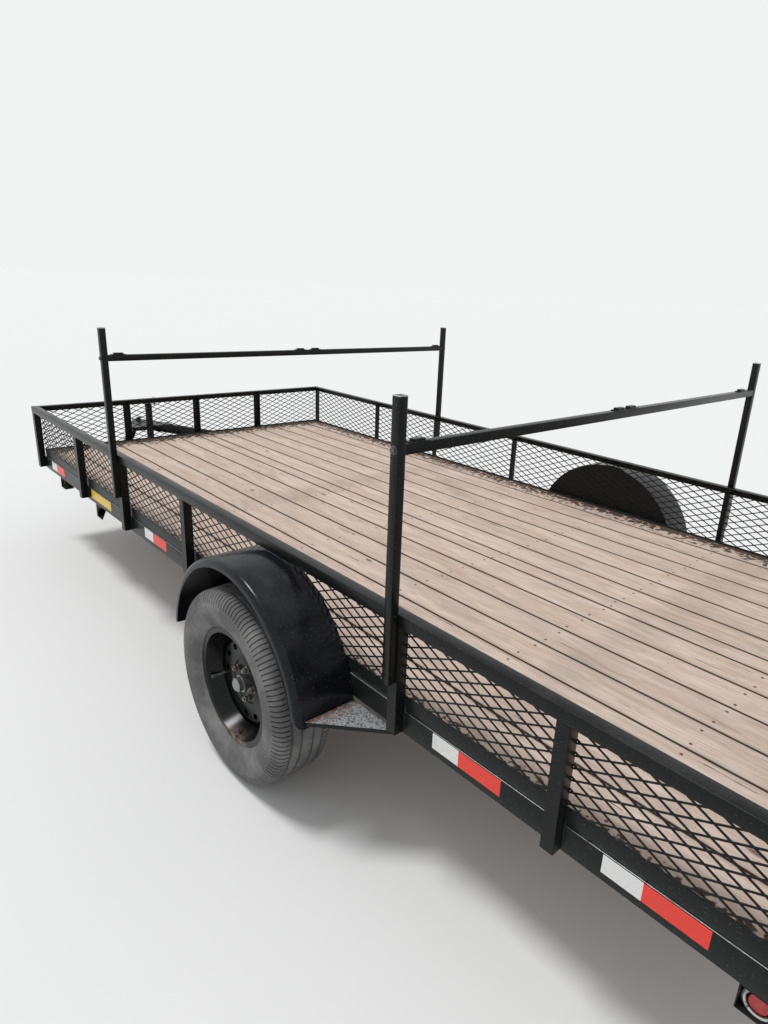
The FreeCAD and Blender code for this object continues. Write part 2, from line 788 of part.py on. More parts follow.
def square_tube(x0, x1, y0, y1, z0, z1, thickness, along):
    """Rectangular tube, open at both ends along the axis named."""
    t = thickness
    inner = {"x": (x0, x1, y0 + t, y1 - t, z0 + t, z1 - t),
             "y": (x0 + t, x1 - t, y0, y1, z0 + t, z1 - t),
             "z": (x0 + t, x1 - t, y0 + t, y1 - t, z0, z1)}[along]
    return box(x0, x1, y0, y1, z0, z1).cut(box(*inner))


def rack_places():
    """Places of the stakes that carry the rack, front first."""
    return [bed_front - row.share * bed_length for row in side_stakes if row.carries_rack]


def rack_uprights():
    """Four capped square tubes on the outer faces of the stakes."""
    pieces = []
    half = upright_side / 2
    outer = side_out + upright_side
    for x in rack_places():
        tube = square_tube(x - half, x + half, side_out, outer, upright_bottom, upright_top - upright_cap,
                           upright_wall, "z")
        cap = box(x - half, x + half, side_out, outer, upright_top - upright_cap, upright_top)
        pieces += both_sides(fused([tube, cap]))
    return apart(pieces)


def rack_bar(x):
    """Cross tube between the inner faces of its two uprights."""
    half = rack_bar_side / 2
    return square_tube(x - half, x + half, -side_out, side_out, rack_bar_top - rack_bar_side, rack_bar_top,
                       rack_bar_wall, "y")


def gate_frame():
    """Gate of square tube with upright ribs, carried by lugs on the hinge line."""
    x0, x1 = gate_pivot_x - gate_tube / 2, gate_pivot_x + gate_tube / 2
    foot = gate_pivot_height + gate_foot_above_pivot
    top = foot + gate_height
    w = gate_half_width
    pieces = [square_tube(x0, x1, -w, w, foot, foot + gate_tube, gate_tube_wall, "y"),
              square_tube(x0, x1, -w, w, top - gate_tube, top, gate_tube_wall, "y")]
    pitch = (2 * w - gate_tube) / (gate_post_count + 1)
    for place in range(gate_post_count + 2):
        y0 = -w + place * pitch
        pieces.append(square_tube(x0, x1, y0, y0 + gate_tube, foot + gate_tube, top - gate_tube,
                                  gate_tube_wall, "z"))
    pieces += [hinge_plate(place - hinge_lug / 2, False) for place in hinge_places]
    return fused(pieces)


def gate_mesh():
    """Expanded metal on the gate's rear face."""
    foot = gate_pivot_height + gate_foot_above_pivot
    width = 2 * gate_half_width - gate_tube
    panel = expanded_panel(width, gate_height - gate_tube)
    panel.rotate(V(0, 0, 0), V(0, 0, 1), -90)
    panel.translate(V(gate_pivot_x - gate_tube / 2 - mesh_thickness, width / 2, foot + gate_tube / 2))
    return panel


def lamp_guard(back):
    """Box under the side angle, open outwards, round a marker lamp."""
    x = bed_front - back
    half = side_lamp_radius + lamp_guard_wall + 6
    low = side_lamp_height - side_lamp_radius - lamp_guard_wall
    inner = side_in - side_lamp_guard
    outer = box(x - half, x + half, inner, side_in, low, frame_bottom)
    hollow = box(x - half + lamp_guard_wall, x + half - lamp_guard_wall, inner + lamp_guard_wall, side_in,
                 low + lamp_guard_wall, frame_bottom - lamp_guard_wall)
    return outer.cut(hollow)


def lamp_guards():
    """Guards of the rear and front marker lamps on both sides."""
    pieces = []
    for back in (side_lamp_back, front_marker_back):
        pieces += both_sides(lamp_guard(back))
    return apart(pieces)


def marker_lamps(back):
    """Round marker lamps inside their guards, one a side."""
    base = V(bed_front - back, side_in - side_lamp_guard + lamp_guard_wall, side_lamp_height)
    r = side_lamp_radius - 3
    lens = Part.makeCone(r, r - 7, 26, base + V(0, 8, 0), V(0, 1, 0))
    return apart(both_sides(fused([rod(base, V(0, 8, 0), r), lens])))


def tail_lamps():
    """Oval tail lamps on the rear plate."""
    end = tail_lamp_half - tail_lamp_half_height
    bar = box(bed_rear - tail_lamp_depth, bed_rear, tail_lamp_y - end, tail_lamp_y + end,
              tail_lamp_height - tail_lamp_half_height, tail_lamp_height + tail_lamp_half_height)
    run = V(-tail_lamp_depth, 0, 0)
    ends = []
    for side in (-1, 1):
        ends.append(rod(V(bed_rear, tail_lamp_y + side * end, tail_lamp_height), run, tail_lamp_half_height))
    return apart(both_sides(fused([bar] + ends)))


def all_parts():
    """Every sub-part by its name."""
    parts = {}
    for side in SIDES:
        parts["frame_rail_" + side] = on_side(frame_rail(), side)
        parts["sill_" + side] = on_side(sill_side(), side)
        parts["top_rail_" + side] = on_side(top_rail_side(), side)
        parts["stakes_" + side] = on_side(stakes_side(), side)
        parts["mesh_" + side] = on_side(mesh_side(), side)
        parts["fender_" + side] = on_side(fender(), side)
        parts["tyre_" + side] = tyre(side)
        parts["rim_" + side] = rim(side)
        parts["hub_" + side] = hub(side)
    parts["frame_header_front"] = frame_header_front()
    parts["frame_header_rear"] = frame_header_rear()
    parts["sill_front"] = sill_front()
    parts["cross_members"] = cross_members()
    parts["deck_boards"] = deck_boards()
    parts["top_rail_front"] = top_rail_front()
    parts["stakes_front"] = stakes_front()
    parts["mesh_front"] = mesh_front()
    parts["fender_steps"] = apart(both_sides(fender_step()))
    parts["axle_beam"] = axle_beam()
    parts["leaf_springs"] = apart(both_sides(leaf_spring()))
    hangers = []
    for piece in spring_hangers():
        hangers += both_sides(piece)
    parts["spring_hangers"] = apart(hangers)
    parts["axle_clamps"] = apart(both_sides(axle_clamp()))
    parts["tongue_beams"] = apart(both_sides(tongue_beam()))
    parts["coupler"] = coupler()
    parts["coupler_latch"] = coupler_latch()
    parts["jack_tube"] = jack_tube()
    parts["jack_leg"] = jack_leg()
    parts["jack_crank"] = jack_crank()
    parts["rack_uprights"] = rack_uprights()
    front_rack, rear_rack = rack_places()
    parts["rack_bar_front"] = rack_bar(front_rack)
    parts["rack_bar_rear"] = rack_bar(rear_rack)
    parts["gate_frame"] = gate_frame()
    parts["gate_mesh"] = gate_mesh()
    parts["lamp_guards"] = lamp_guards()
    parts["rear_lamps"] = apart([marker_lamps(side_lamp_back), tail_lamps()])
    parts["front_markers"] = marker_lamps(front_marker_back)
    return parts


os.makedirs("parts", exist_ok=True)
for name, shape in all_parts().items():
    if not shape.isValid():
        raise ValueError(name + " is not valid")
    shape.exportStep("parts/" + name + ".step")
    print(name, len(shape.Solids), "solids", round(shape.Volume / 1000), "cm3")
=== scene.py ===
"""Looks of a single-axle utility trailer: worn black steel, weathered boards, expanded metal and dusty tyres.

+X points to the front, +Y to the trailer's left and +Z up, in metres, with the ground at z = 0.
"""

import logging
import math
import random
from contextlib import contextmanager
from dataclasses import dataclass
from enum import Enum
from typing import Iterable, Iterator, Sequence

import bpy
from mathutils import Euler, Matrix, Vector

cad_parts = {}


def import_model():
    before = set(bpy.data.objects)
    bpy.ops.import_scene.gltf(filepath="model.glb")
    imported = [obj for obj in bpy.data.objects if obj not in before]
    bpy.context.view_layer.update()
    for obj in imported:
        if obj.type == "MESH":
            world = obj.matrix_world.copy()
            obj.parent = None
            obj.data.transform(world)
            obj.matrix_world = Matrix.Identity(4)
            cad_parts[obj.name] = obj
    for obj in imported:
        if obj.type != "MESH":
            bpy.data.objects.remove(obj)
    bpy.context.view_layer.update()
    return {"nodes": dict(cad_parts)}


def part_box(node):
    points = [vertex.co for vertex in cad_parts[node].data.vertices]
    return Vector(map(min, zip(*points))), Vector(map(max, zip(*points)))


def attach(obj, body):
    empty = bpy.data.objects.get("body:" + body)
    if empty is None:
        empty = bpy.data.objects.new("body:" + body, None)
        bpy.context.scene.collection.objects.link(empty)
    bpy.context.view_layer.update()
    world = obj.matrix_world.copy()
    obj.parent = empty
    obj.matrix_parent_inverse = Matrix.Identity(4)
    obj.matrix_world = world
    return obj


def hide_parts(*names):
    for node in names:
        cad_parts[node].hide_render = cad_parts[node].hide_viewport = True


LOG = logging.getLogger("trailer")
Colour = tuple[float, float, float]
Point = tuple[float, float, float]
Span = tuple[float, float]
Piece = bpy.types.Object
Socket = bpy.types.NodeSocket
Feed = float | Colour | Socket


class Side(Enum):
    """The trailer's two sides, with the sign of Y on each."""

    LEFT = 1
    RIGHT = -1

    @property
    def word(self) -> str:
        """The side's name as it ends the names of pieces."""
        return self.name.lower()


# Modelling by hand


def deselect() -> None:
    """Leave edit mode and clear the selection."""
    if bpy.context.object is not None and bpy.context.object.mode != "OBJECT":
        bpy.ops.object.mode_set(mode="OBJECT")
    bpy.ops.object.select_all(action="DESELECT")


def take(obj: Piece) -> None:
    """Select one object alone and make it active.

    Args:
        obj: the object to work on.
    """
    deselect()
    obj.select_set(True)
    bpy.context.view_layer.objects.active = obj


@contextmanager
def editing(obj: Piece) -> Iterator[None]:
    """Edit mode on one object, with its whole mesh selected at the start.

    Args:
        obj: the object to edit.
    """
    take(obj)
    bpy.ops.object.mode_set(mode="EDIT")
    bpy.ops.mesh.select_all(action="SELECT")
    yield
    bpy.ops.object.mode_set(mode="OBJECT")


def weld(threshold: float = 0.00005) -> None:
    """Merge the edited mesh's vertices that lie within a threshold."""
    bpy.ops.mesh.select_all(action="SELECT")
    bpy.ops.mesh.remove_doubles(threshold=threshold)


def cut(point: Sequence[float], away: Sequence[float]) -> None:
    """Cut off what lies beyond a plane of the edited mesh, and close the cut."""
    bpy.ops.mesh.select_all(action="SELECT")
    bpy.ops.mesh.bisect(plane_co=point, plane_no=away, use_fill=True, clear_outer=True)


def settle(obj: Piece) -> Piece:
    """Put an object's place, turn and size into its mesh.

    Args:
        obj: the object to settle at the origin.

    Returns:
        The same object.
    """
    take(obj)
    bpy.ops.object.transform_apply(location=True, rotation=True, scale=True)
    return obj


def bevelled(obj: Piece, width: float, angle: float = 35.0) -> Piece:
    """Round an object's sharp edges with an applied bevel of two faces.

    Args:
        obj: the object to round.
        width: width of the bevel in metres.
        angle: edges sharper than this many degrees are rounded.

    Returns:
        The same object.
    """
    take(obj)
    edge = obj.modifiers.new("edge", "BEVEL")
    edge.width = width
    edge.segments = 2
    edge.limit_method = "ANGLE"
    edge.angle_limit = math.radians(angle)
    bpy.ops.object.modifier_apply(modifier=edge.name)
    return obj


def smooth(obj: Piece, angle: float = 40.0) -> Piece:
    """Shade an object smooth but for its sharp edges.

    Args:
        obj: the object to shade.
        angle: edges sharper than this many degrees stay sharp.

    Returns:
        The same object.
    """
    take(obj)
    bpy.ops.object.shade_smooth_by_angle(angle=math.radians(angle))
    return obj


def block(name: str, low: Point, high: Point, bevel: float = 0.0) -> Piece:
    """Box between two corners, with rounded edges.

    Args:
        name: name of the piece.
        low: lowest corner.
        high: highest corner.
        bevel: width of the rounded edges, or 0 for none.

    Returns:
        The box, settled.
    """
    deselect()
    a, b = Vector(low), Vector(high)
    bpy.ops.mesh.primitive_cube_add(size=1.0, location=(a + b) / 2)
    obj = bpy.context.object
    obj.name = name
    obj.scale = b - a
    settle(obj)
    return bevelled(obj, bevel) if bevel else obj


def side_block(name: str, side: Side, x: Span, y: Span, z: Span, bevel: float) -> Piece:
    """Rounded block on one side of the trailer, its y span counted outwards from the centre plane."""
    inner, outer = sorted(side.value * part for part in y)
    return block(name, (x[0], inner, z[0]), (x[1], outer, z[1]), bevel)


def round_bar(name: str, start: Point, end: Point, radius: float, sides: int, bevel: float = 0.0) -> Piece:
    """Round bar between two points, with softened ends.

    Args:
        name: name of the piece.
        start: middle of one end.
        end: middle of the other end.
        radius: the bar's radius.
        sides: faces round the bar.
        bevel: width of the rounded rims, or 0 for none.

    Returns:
        The bar, settled.
    """
    deselect()
    a, b = Vector(start), Vector(end)
    turn = (b - a).to_track_quat("Z", "Y").to_euler()
    bpy.ops.mesh.primitive_cylinder_add(
        vertices=sides, radius=radius, depth=(b - a).length, location=(a + b) / 2, rotation=turn
    )
    obj = bpy.context.object
    obj.name = name
    settle(obj)
    if bevel:
        bevelled(obj, bevel)
    return smooth(obj)


@dataclass(frozen=True)
class Stub:
    """Short bar across the trailer, with its two ends counted outwards from a point."""

    name: str
    start: float
    end: float
    radius: float
    sides: int
    bevel: float = 0.0

    def build(self, side: Side, x: float, y: float, z: float) -> Piece:
        """The bar at the point x, y, z, outwards on its side."""
        ends = ((x, y + side.value * step, z) for step in (self.start, self.end))
        return round_bar(self.name, *ends, self.radius, self.sides, self.bevel)


def joined(name: str, pieces: Sequence[Piece]) -> Piece:
    """Join several pieces into one object.

    Args:
        name: name of the joined piece.
        pieces: the pieces to join, which are used up.

    Returns:
        The joined object.
    """
    take(pieces[0])
    for piece in pieces:
        piece.select_set(True)
    if len(pieces) > 1:
        bpy.ops.object.join()
    obj = bpy.context.object
    obj.name = name
    return obj


def copies(obj: Piece, places: Iterable[Matrix]) -> list[Piece]:
    """Copies of a piece, each with its own mesh, at given places.

    Args:
        obj: the piece that is modelled once, and is used up.
        places: a matrix for each copy.

    Returns:
        The copies.
    """
    made = []
    for place in places:
        twin = obj.copy()
        twin.data = obj.data.copy()
        twin.data.transform(place)
        bpy.context.scene.collection.objects.link(twin)
        made.append(twin)
    bpy.data.objects.remove(obj)
    return made


def at(x: float, y: float, z: float) -> Matrix:
    """Matrix that moves a piece by x, y and z."""
    return Matrix.Translation((x, y, z))


def spun(name: str, outline: Sequence[Span], centre: Point, steps: int) -> Piece:
    """Closed ring from an outline turned about the Y line through centre.

    Args:
        name: name of the piece.
        outline: closed outline as (distance along Y, radius) pairs.
        centre: point on the axis.
        steps: faces round the ring.

    Returns:
        The ring, with its faces outwards.
    """
    deselect()
    cx, cy, cz = centre
    first = Vector((cx, cy + outline[0][0], cz + outline[0][1]))
    bpy.ops.mesh.primitive_plane_add(size=0.01, location=first)
    obj = bpy.context.object
    obj.name = name
    settle(obj)
    with editing(obj):
        bpy.ops.mesh.select_mode(type="VERT")
        bpy.ops.mesh.merge(type="CENTER")
        for (y0, r0), (y1, r1) in zip(outline, list(outline[1:]) + [outline[0]]):
            bpy.ops.mesh.extrude_region_move(TRANSFORM_OT_translate={"value": (0.0, y1 - y0, r1 - r0)})
        bpy.ops.mesh.select_all(action="SELECT")
        bpy.ops.mesh.spin(steps=steps, angle=2 * math.pi, center=centre, axis=(0.0, 1.0, 0.0))
        weld()
        bpy.ops.mesh.normals_make_consistent(inside=False)
    return obj


def refined(node: str, name: str, angle: float, bevel: float) -> Piece:
    """Merged and smoothly shaded copy of a CAD node.

    Args:
        node: the CAD node to copy.
        name: name of the new piece.
        angle: edges sharper than this many degrees stay sharp.
        bevel: width of the rounded edges.

    Returns:
        The copy.
    """
    source = FRAME["nodes"][node]
    twin = bpy.data.objects.new(name, source.data.copy())
    bpy.context.scene.collection.objects.link(twin)
    with editing(twin):
        weld()
    return smooth(bevelled(twin, bevel, angle), angle)


# Finishes


class Sheet:
    """A material's node sheet with short calls for adding and linking nodes."""

    def __init__(self, tree: bpy.types.NodeTree, shader: str = "ShaderNodeBsdfPrincipled") -> None:
        """Keep the tree and put its shader in it.

        Args:
            tree: the tree that nodes are added to.
            shader: type name of the shader, or an empty word for none.
        """
        self.tree = tree
        self.shader = self.add(shader) if shader else None
        self.coordinates: bpy.types.Node | None = None

    @property
    def where(self) -> Socket:
        """The object's coordinates."""
        if self.coordinates is None:
            self.coordinates = self.add("ShaderNodeTexCoord")
        return self.coordinates.outputs["Object"]

    @property
    def axes(self) -> bpy.types.NodeOutputs:
        """The object's coordinates, one by one."""
        return self.add("ShaderNodeSeparateXYZ", {0: self.where}).outputs

    def add(self, kind: str, inputs: dict | None = None, **settings) -> bpy.types.Node:
        """Add a node.

        Args:
            kind: the node's type name.
            inputs: socket names or indices with a value or an output socket each.
            settings: the node's own settings.

        Returns:
            The new node.
        """
        node = self.tree.nodes.new(kind)
        for key, value in settings.items():
            setattr(node, key, value)
        for key, value in (inputs or {}).items():
            self.put(node.inputs[key], value)
        return node

    def put(self, socket: Socket, value: Feed) -> None:
        """Link an output to a socket, or set the socket's own value."""
        if isinstance(value, Socket):
            self.tree.links.new(value, socket)
        else:
            socket.default_value = value

    def feed(self, name: str, value: Feed) -> None:
        """Give the shader's socket of that name a link or a value."""
        self.put(self.shader.inputs[name], value)

    def mix(self, share: Feed, low: Feed, high: Feed) -> Socket:
        """The colour low where share is 0, high where it is 1, and a blend between."""
        ends = [(*end, 1.0) if isinstance(end, tuple) else end for end in (low, high)]
        return self.add("ShaderNodeMix", {0: share, 6: ends[0], 7: ends[1]}, data_type="RGBA").outputs[2]

    def maths(self, operation: str, first: Feed, second: Feed = 0.0) -> Socket:
        """One arithmetic step, by its name in capitals."""
        return self.add("ShaderNodeMath", {0: first, 1: second}, operation=operation).outputs[0]

    def times(self, first: Feed, second: Feed) -> Socket:
        """The product of two values."""
        return self.maths("MULTIPLY", first, second)

    def spread(self, value: Feed, low: float, high: float, start: float = 0.0, end: float = 1.0) -> Socket:
        """Map a value from low to high onto start to end, clamped."""
        return self.add("ShaderNodeMapRange", {0: value, 1: low, 2: high, 3: start, 4: end}).outputs[0]

    def noise(self, vector: Socket, scale: float, detail: float, rough: float = 0.5) -> Socket:
        """Cloudy noise: scale says how fine, detail how many octaves, rough how heavy the finer ones."""
        inputs = {"Vector": vector, "Scale": scale, "Detail": detail, "Roughness": rough}
        return self.add("ShaderNodeTexNoise", inputs).outputs[0]

    def scaled(self, vector: Socket, scale: Point) -> Socket:
        """Coordinates scaled along each axis."""
        return self.add("ShaderNodeMapping", {"Vector": vector, "Scale": scale}).outputs[0]

    def moved(self, operation: str, first: Feed, second: Feed) -> Socket:
        """One step of vector arithmetic, by its name in capitals."""
        return self.add("ShaderNodeVectorMath", {0: first, 1: second}, operation=operation).outputs[0]

    def patches(self, scale: float, cover: float, softness: float, vector: Socket | None = None) -> Socket:
        """A patchy mask from the shared group; cover is its share of the surface, roughly 0.3 to 0.7."""
        inputs = {"Vector": vector or self.where, "Scale": scale, "Cover": cover, "Softness": softness}
        return self.add("ShaderNodeGroup", inputs, node_tree=patch_group()).outputs["Mask"]

    def bump(self, height: Socket, depth: float) -> None:
        """Feed a height, with its depth in metres, into the shader's normal."""
        self.feed("Normal", self.add("ShaderNodeBump", {"Height": height, "Distance": depth}).outputs[0])


def patch_group() -> bpy.types.NodeTree:
    """Shared group that puts out a patchy mask, for dust, rust, mud and stains.

    Returns:
        The group, built once.
    """
    found = bpy.data.node_groups.get("patches")
    if found:
        return found
    group = bpy.data.node_groups.new("patches", "ShaderNodeTree")
    group.interface.new_socket(name="Vector", in_out="INPUT", socket_type="NodeSocketVector")
    for name in ("Scale", "Cover", "Softness"):
        group.interface.new_socket(name=name, in_out="INPUT", socket_type="NodeSocketFloat")
    group.interface.new_socket(name="Mask", in_out="OUTPUT", socket_type="NodeSocketFloat")
    sheet = Sheet(group, "")
    ends = sheet.add("NodeGroupInput").outputs
    noise = sheet.noise(ends["Vector"], ends["Scale"], 8.0, 0.62)
    threshold = sheet.maths("SUBTRACT", 1.0, ends["Cover"])
    high = sheet.maths("ADD", threshold, ends["Softness"])
    mask = sheet.add("ShaderNodeMapRange", {0: noise, 1: threshold, 2: high})
    sheet.add("NodeGroupOutput", {"Mask": mask.outputs[0]})
    return group


@dataclass(frozen=True)
class Finish:
    """What every finish has: a name, and a way to make its material once."""

    name: str

    def material(self) -> bpy.types.Material:
        """The finish's material, made at its first use.

        Returns:
            The material.
        """
        found = bpy.data.materials.get(self.name)
        if found:
            return found
        made = bpy.data.materials.new(self.name)
        made.use_nodes = True
        made.node_tree.nodes.clear()
        sheet = Sheet(made.node_tree)
        sheet.add("ShaderNodeOutputMaterial", {0: sheet.shader.outputs[0]})
        self.dress(sheet)
        return made

    def dress(self, sheet: Sheet) -> None:
        """Lay out the nodes that feed the shader; each finish has its own."""
        raise NotImplementedError


@dataclass(frozen=True)
class WornPaint(Finish):
    """Brushed-on black paint, with dust and a painted sheen on what lies flat, scuffs, orange peel and small
    rust spots.
    """

    paint: Colour = (0.0055, 0.0065, 0.006)
    # Pale tone for dust specks, and for the dust and painted sheen on upward faces.
    dust: Colour = (0.085, 0.085, 0.08)
    rust: Colour = (0.075, 0.03, 0.014)
    dark_rust: Colour = (0.03, 0.013, 0.008)
    dust_and_sheen_cover: float = 0.44
    dust_and_sheen_amount: float = 0.5
    rust_cover: float = 0.31
    roughness: float = 0.3
    gloss: float = 0.2

    def dress(self, sheet: Sheet) -> None:
        """Paint under dust and painted sheen under rust, with roughness and a fine bump to match."""
        facing = sheet.add("ShaderNodeTexCoord").outputs["Normal"]
        up = sheet.add("ShaderNodeSeparateXYZ", {0: facing}).outputs[2]
        # Upward faces are lightened: partly dust, partly a painted sheen that stands for light falling on the
        # tops.
        lying = sheet.spread(up, 0.3, 0.95, 0.12, 1.0)
        dusty = sheet.times(sheet.patches(6.0, self.dust_and_sheen_cover, 0.35), lying)
        specks = sheet.patches(150.0, 0.385, 0.05)
        base = sheet.mix(sheet.times(dusty, self.dust_and_sheen_amount), self.paint, self.dust)
        base = sheet.mix(sheet.times(specks, 0.55), base, self.dust)
        rusty = sheet.patches(30.0, self.rust_cover, 0.05)
        iron = sheet.mix(sheet.patches(90.0, 0.5, 0.3), self.rust, self.dark_rust)
        sheet.feed("Base Color", sheet.mix(rusty, base, iron))
        rough = sheet.maths("ADD", self.roughness, sheet.times(dusty, 0.3))
        sheet.feed("Roughness", sheet.maths("ADD", rough, sheet.times(rusty, 0.35)))
        sheet.feed("Specular IOR Level", self.gloss)
        peel = sheet.noise(sheet.where, 240.0, 2.0)
        sheet.bump(sheet.maths("ADD", sheet.times(peel, 0.3), rusty), 0.00025)


@dataclass(frozen=True)
class WheelPaint(WornPaint):
    """The wheel's gloss black, with pale dirt and rust gathered low in the barrel."""

    dirt: Colour = (0.26, 0.20, 0.16)
    stain: Colour = (0.12, 0.05, 0.025)
    low: float = 0.147
    fade: float = 0.03

    def dress(self, sheet: Sheet) -> None:
        """The worn paint, then dirt that fades upwards from the barrel's lowest part."""
        super().dress(sheet)
        near = sheet.spread(sheet.axes[2], self.low, self.low + self.fade, 1.0, 0.0)
        cover = sheet.times(near, sheet.patches(45.0, 0.62, 0.2))
        dirt = sheet.mix(sheet.times(sheet.patches(55.0, 0.47, 0.06), 0.6), self.dirt, self.stain)
        under = sheet.shader.inputs["Base Color"].links[0].from_socket
        sheet.feed("Base Color", sheet.mix(cover, under, dirt))


@dataclass(frozen=True)
class TreadPlate(Finish):
    """Worn tread plate: bright rubbed steel specks in dark paint, browner towards the fender."""

    dark: Colour = (0.07, 0.073, 0.076)
    rubbed: Colour = (0.36, 0.365, 0.37)
    rust: Colour = (0.14, 0.055, 0.025)
    fender_x: float = -1.56
    fade: float = 0.055

    def dress(self, sheet: Sheet) -> None:
        """Fine specks, and rust that fades backwards."""
        specks = sheet.patches(170.0, 0.58, 0.1)
        near = sheet.spread(sheet.axes[0], self.fender_x - self.fade, self.fender_x)
        rusty = sheet.times(near, sheet.patches(70.0, 0.58, 0.12))
        sheet.feed("Base Color", sheet.mix(rusty, sheet.mix(specks, self.dark, self.rubbed), self.rust))
        sheet.feed("Roughness", sheet.spread(specks, 0.0, 1.0, 0.62, 0.42))
        sheet.bump(specks, 0.0005)


@dataclass(frozen=True)
class WeatheredBoards(Finish):
    """Sun-bleached softwood boards along X, with grain, checks, knots and dirt at the gaps.

    Each board has a tone and a place in the grain of its own, from its row's number.
    """

    half: float = 1.063
    pitch: float = 0.1455
    gap_share: float = 0.0275
    front_x: float = 1.79
    pale: Colour = (0.72, 0.59, 0.50)
    dull: Colour = (0.50, 0.41, 0.35)
    warm: Colour = (0.55, 0.41, 0.32)
    grey: Colour = (0.36, 0.30, 0.26)
    fibres: Colour = (0.15, 0.10, 0.075)
    knots: Colour = (0.11, 0.06, 0.04)
    checks: Colour = (0.05, 0.034, 0.025)
    worn: Colour = (0.13, 0.085, 0.06)
    gap: Colour = (0.035, 0.024, 0.018)
    dirt: Colour = (0.05, 0.03, 0.02)
    crumbs: Colour = (0.10, 0.06, 0.04)

    def dress(self, sheet: Sheet) -> None:
        """Wood, then the boards' edges, then what lies on them."""
        axes = sheet.axes
        along, across = axes[0], axes[1]
        inwards = sheet.maths("SUBTRACT", self.half, sheet.maths("ABSOLUTE", across))
        count = sheet.maths("DIVIDE", inwards, self.pitch)
        row = sheet.maths("ADD", sheet.maths("FLOOR", count), sheet.times(sheet.maths("SIGN", across), 21.0))
        tone = sheet.add("ShaderNodeTexWhiteNoise", {"W": row}, noise_dimensions="1D").outputs[0]
        shift = sheet.add("ShaderNodeCombineXYZ", {0: sheet.times(tone, 37.0)})
        own = sheet.moved("ADD", sheet.where, shift.outputs[0])
        long = sheet.scaled(own, (1.1, 17.0, 17.0))
        base, relief = self.wood(sheet, own, long, tone)
        middle = sheet.maths("SUBTRACT", sheet.maths("FRACT", count), 0.5 - self.gap_share / 2)
        middle = sheet.maths("ABSOLUTE", middle)
        edge = sheet.times(sheet.spread(middle, 0.38, 0.487), sheet.patches(2.5, 0.62, 0.4, long))
        base = sheet.mix(sheet.times(edge, 0.8), base, self.worn)
        base = sheet.mix(sheet.spread(middle, 0.455, 0.472, 0.0, 0.9), base, self.gap)
        front = sheet.spread(along, self.front_x - 0.34, self.front_x, 0.0, 1.1)
        right = sheet.spread(across, 0.22 - self.half, -self.half, 0.0, 1.1)
        left = sheet.spread(across, self.half - 0.07, self.half, 0.0, 0.8)
        rim = sheet.maths("MAXIMUM", sheet.maths("MAXIMUM", front, right), left)
        strewn = sheet.maths("ADD", rim, sheet.times(sheet.patches(36.0, 0.6, 0.2), 0.6))
        base = sheet.mix(sheet.spread(strewn, 0.95, 1.1, 0.0, 0.95), base, self.dirt)
        base = sheet.mix(sheet.times(sheet.patches(75.0, 0.315, 0.02), 0.8), base, self.crumbs)
        sheet.feed("Base Color", base)
        sheet.feed("Roughness", 0.85)
        sheet.feed("Specular IOR Level", 0.25)
        sheet.bump(relief, 0.0016)

    def wood(self, sheet: Sheet, own: Socket, long: Socket, tone: Socket) -> tuple[Socket, Socket]:
        """Grain, weathering, fibres, knots and checks.

        Args:
            sheet: the sheet to add to.
            own: each board's own coordinates.
            long: the same, drawn out along the boards.
            tone: each board's random value.

        Returns:
            The wood's colour and its height.
        """
        warp = sheet.add("ShaderNodeTexNoise", {"Vector": own, "Scale": 2.6, "Detail": 2.0}).outputs[1]
        bent = sheet.moved("ADD", long, sheet.moved("MULTIPLY", warp, (0.0, 2.2, 2.2)))
        grain = sheet.noise(bent, 1.5, 8.0, 0.6)
        fibre = sheet.noise(sheet.scaled(own, (9.0, 230.0, 230.0)), 1.0, 4.0)
        base = sheet.mix(sheet.spread(grain, 0.3, 0.62), self.warm, self.pale)
        base = sheet.mix(sheet.spread(tone, 0.0, 1.0, 0.0, 0.32), base, self.dull)
        weathered = sheet.patches(1.0, 0.5, 0.22, sheet.scaled(own, (2.0, 5.0, 5.0)))
        base = sheet.mix(sheet.times(weathered, 0.5), base, self.grey)
        base = sheet.mix(sheet.spread(fibre, 0.6, 0.36, 0.0, 0.28), base, self.fibres)
        spots = sheet.scaled(own, (1.0, 2.6, 2.6))
        knot = sheet.add("ShaderNodeTexVoronoi", {"Vector": spots, "Scale": 2.2}).outputs[0]
        base = sheet.mix(sheet.spread(knot, 0.06, 0.03, 0.0, 0.8), base, self.knots)
        split = sheet.patches(1.0, 0.33, 0.02, sheet.scaled(own, (3.0, 85.0, 85.0)))
        height = sheet.maths("ADD", grain, sheet.times(fibre, 0.5))
        return sheet.mix(split, base, self.checks), sheet.maths("SUBTRACT", height, sheet.times(split, 1.5))


@dataclass(frozen=True)
class DustyRubber(Finish):
    """Tyre rubber, greyed by dust, with a matt grain."""

    rubber: Colour = (0.062, 0.062, 0.064)
    dust: Colour = (0.26, 0.257, 0.25)
    speck: Colour = (0.24, 0.22, 0.19)

    def dress(self, sheet: Sheet) -> None:
        """Dark rubber under pale dust and specks."""
        dusty = sheet.spread(sheet.patches(9.0, 0.56, 0.35), 0.0, 1.0, 0.25, 0.95)
        base = sheet.mix(dusty, self.rubber, self.dust)
        specks = sheet.times(sheet.patches(120.0, 0.4, 0.08), 0.5)
        sheet.feed("Base Color", sheet.mix(specks, base, self.speck))
        sheet.feed("Roughness", 0.82)
        sheet.feed("Specular IOR Level", 0.3)
        sheet.bump(sheet.noise(sheet.where, 420.0, 3.0), 0.0004)


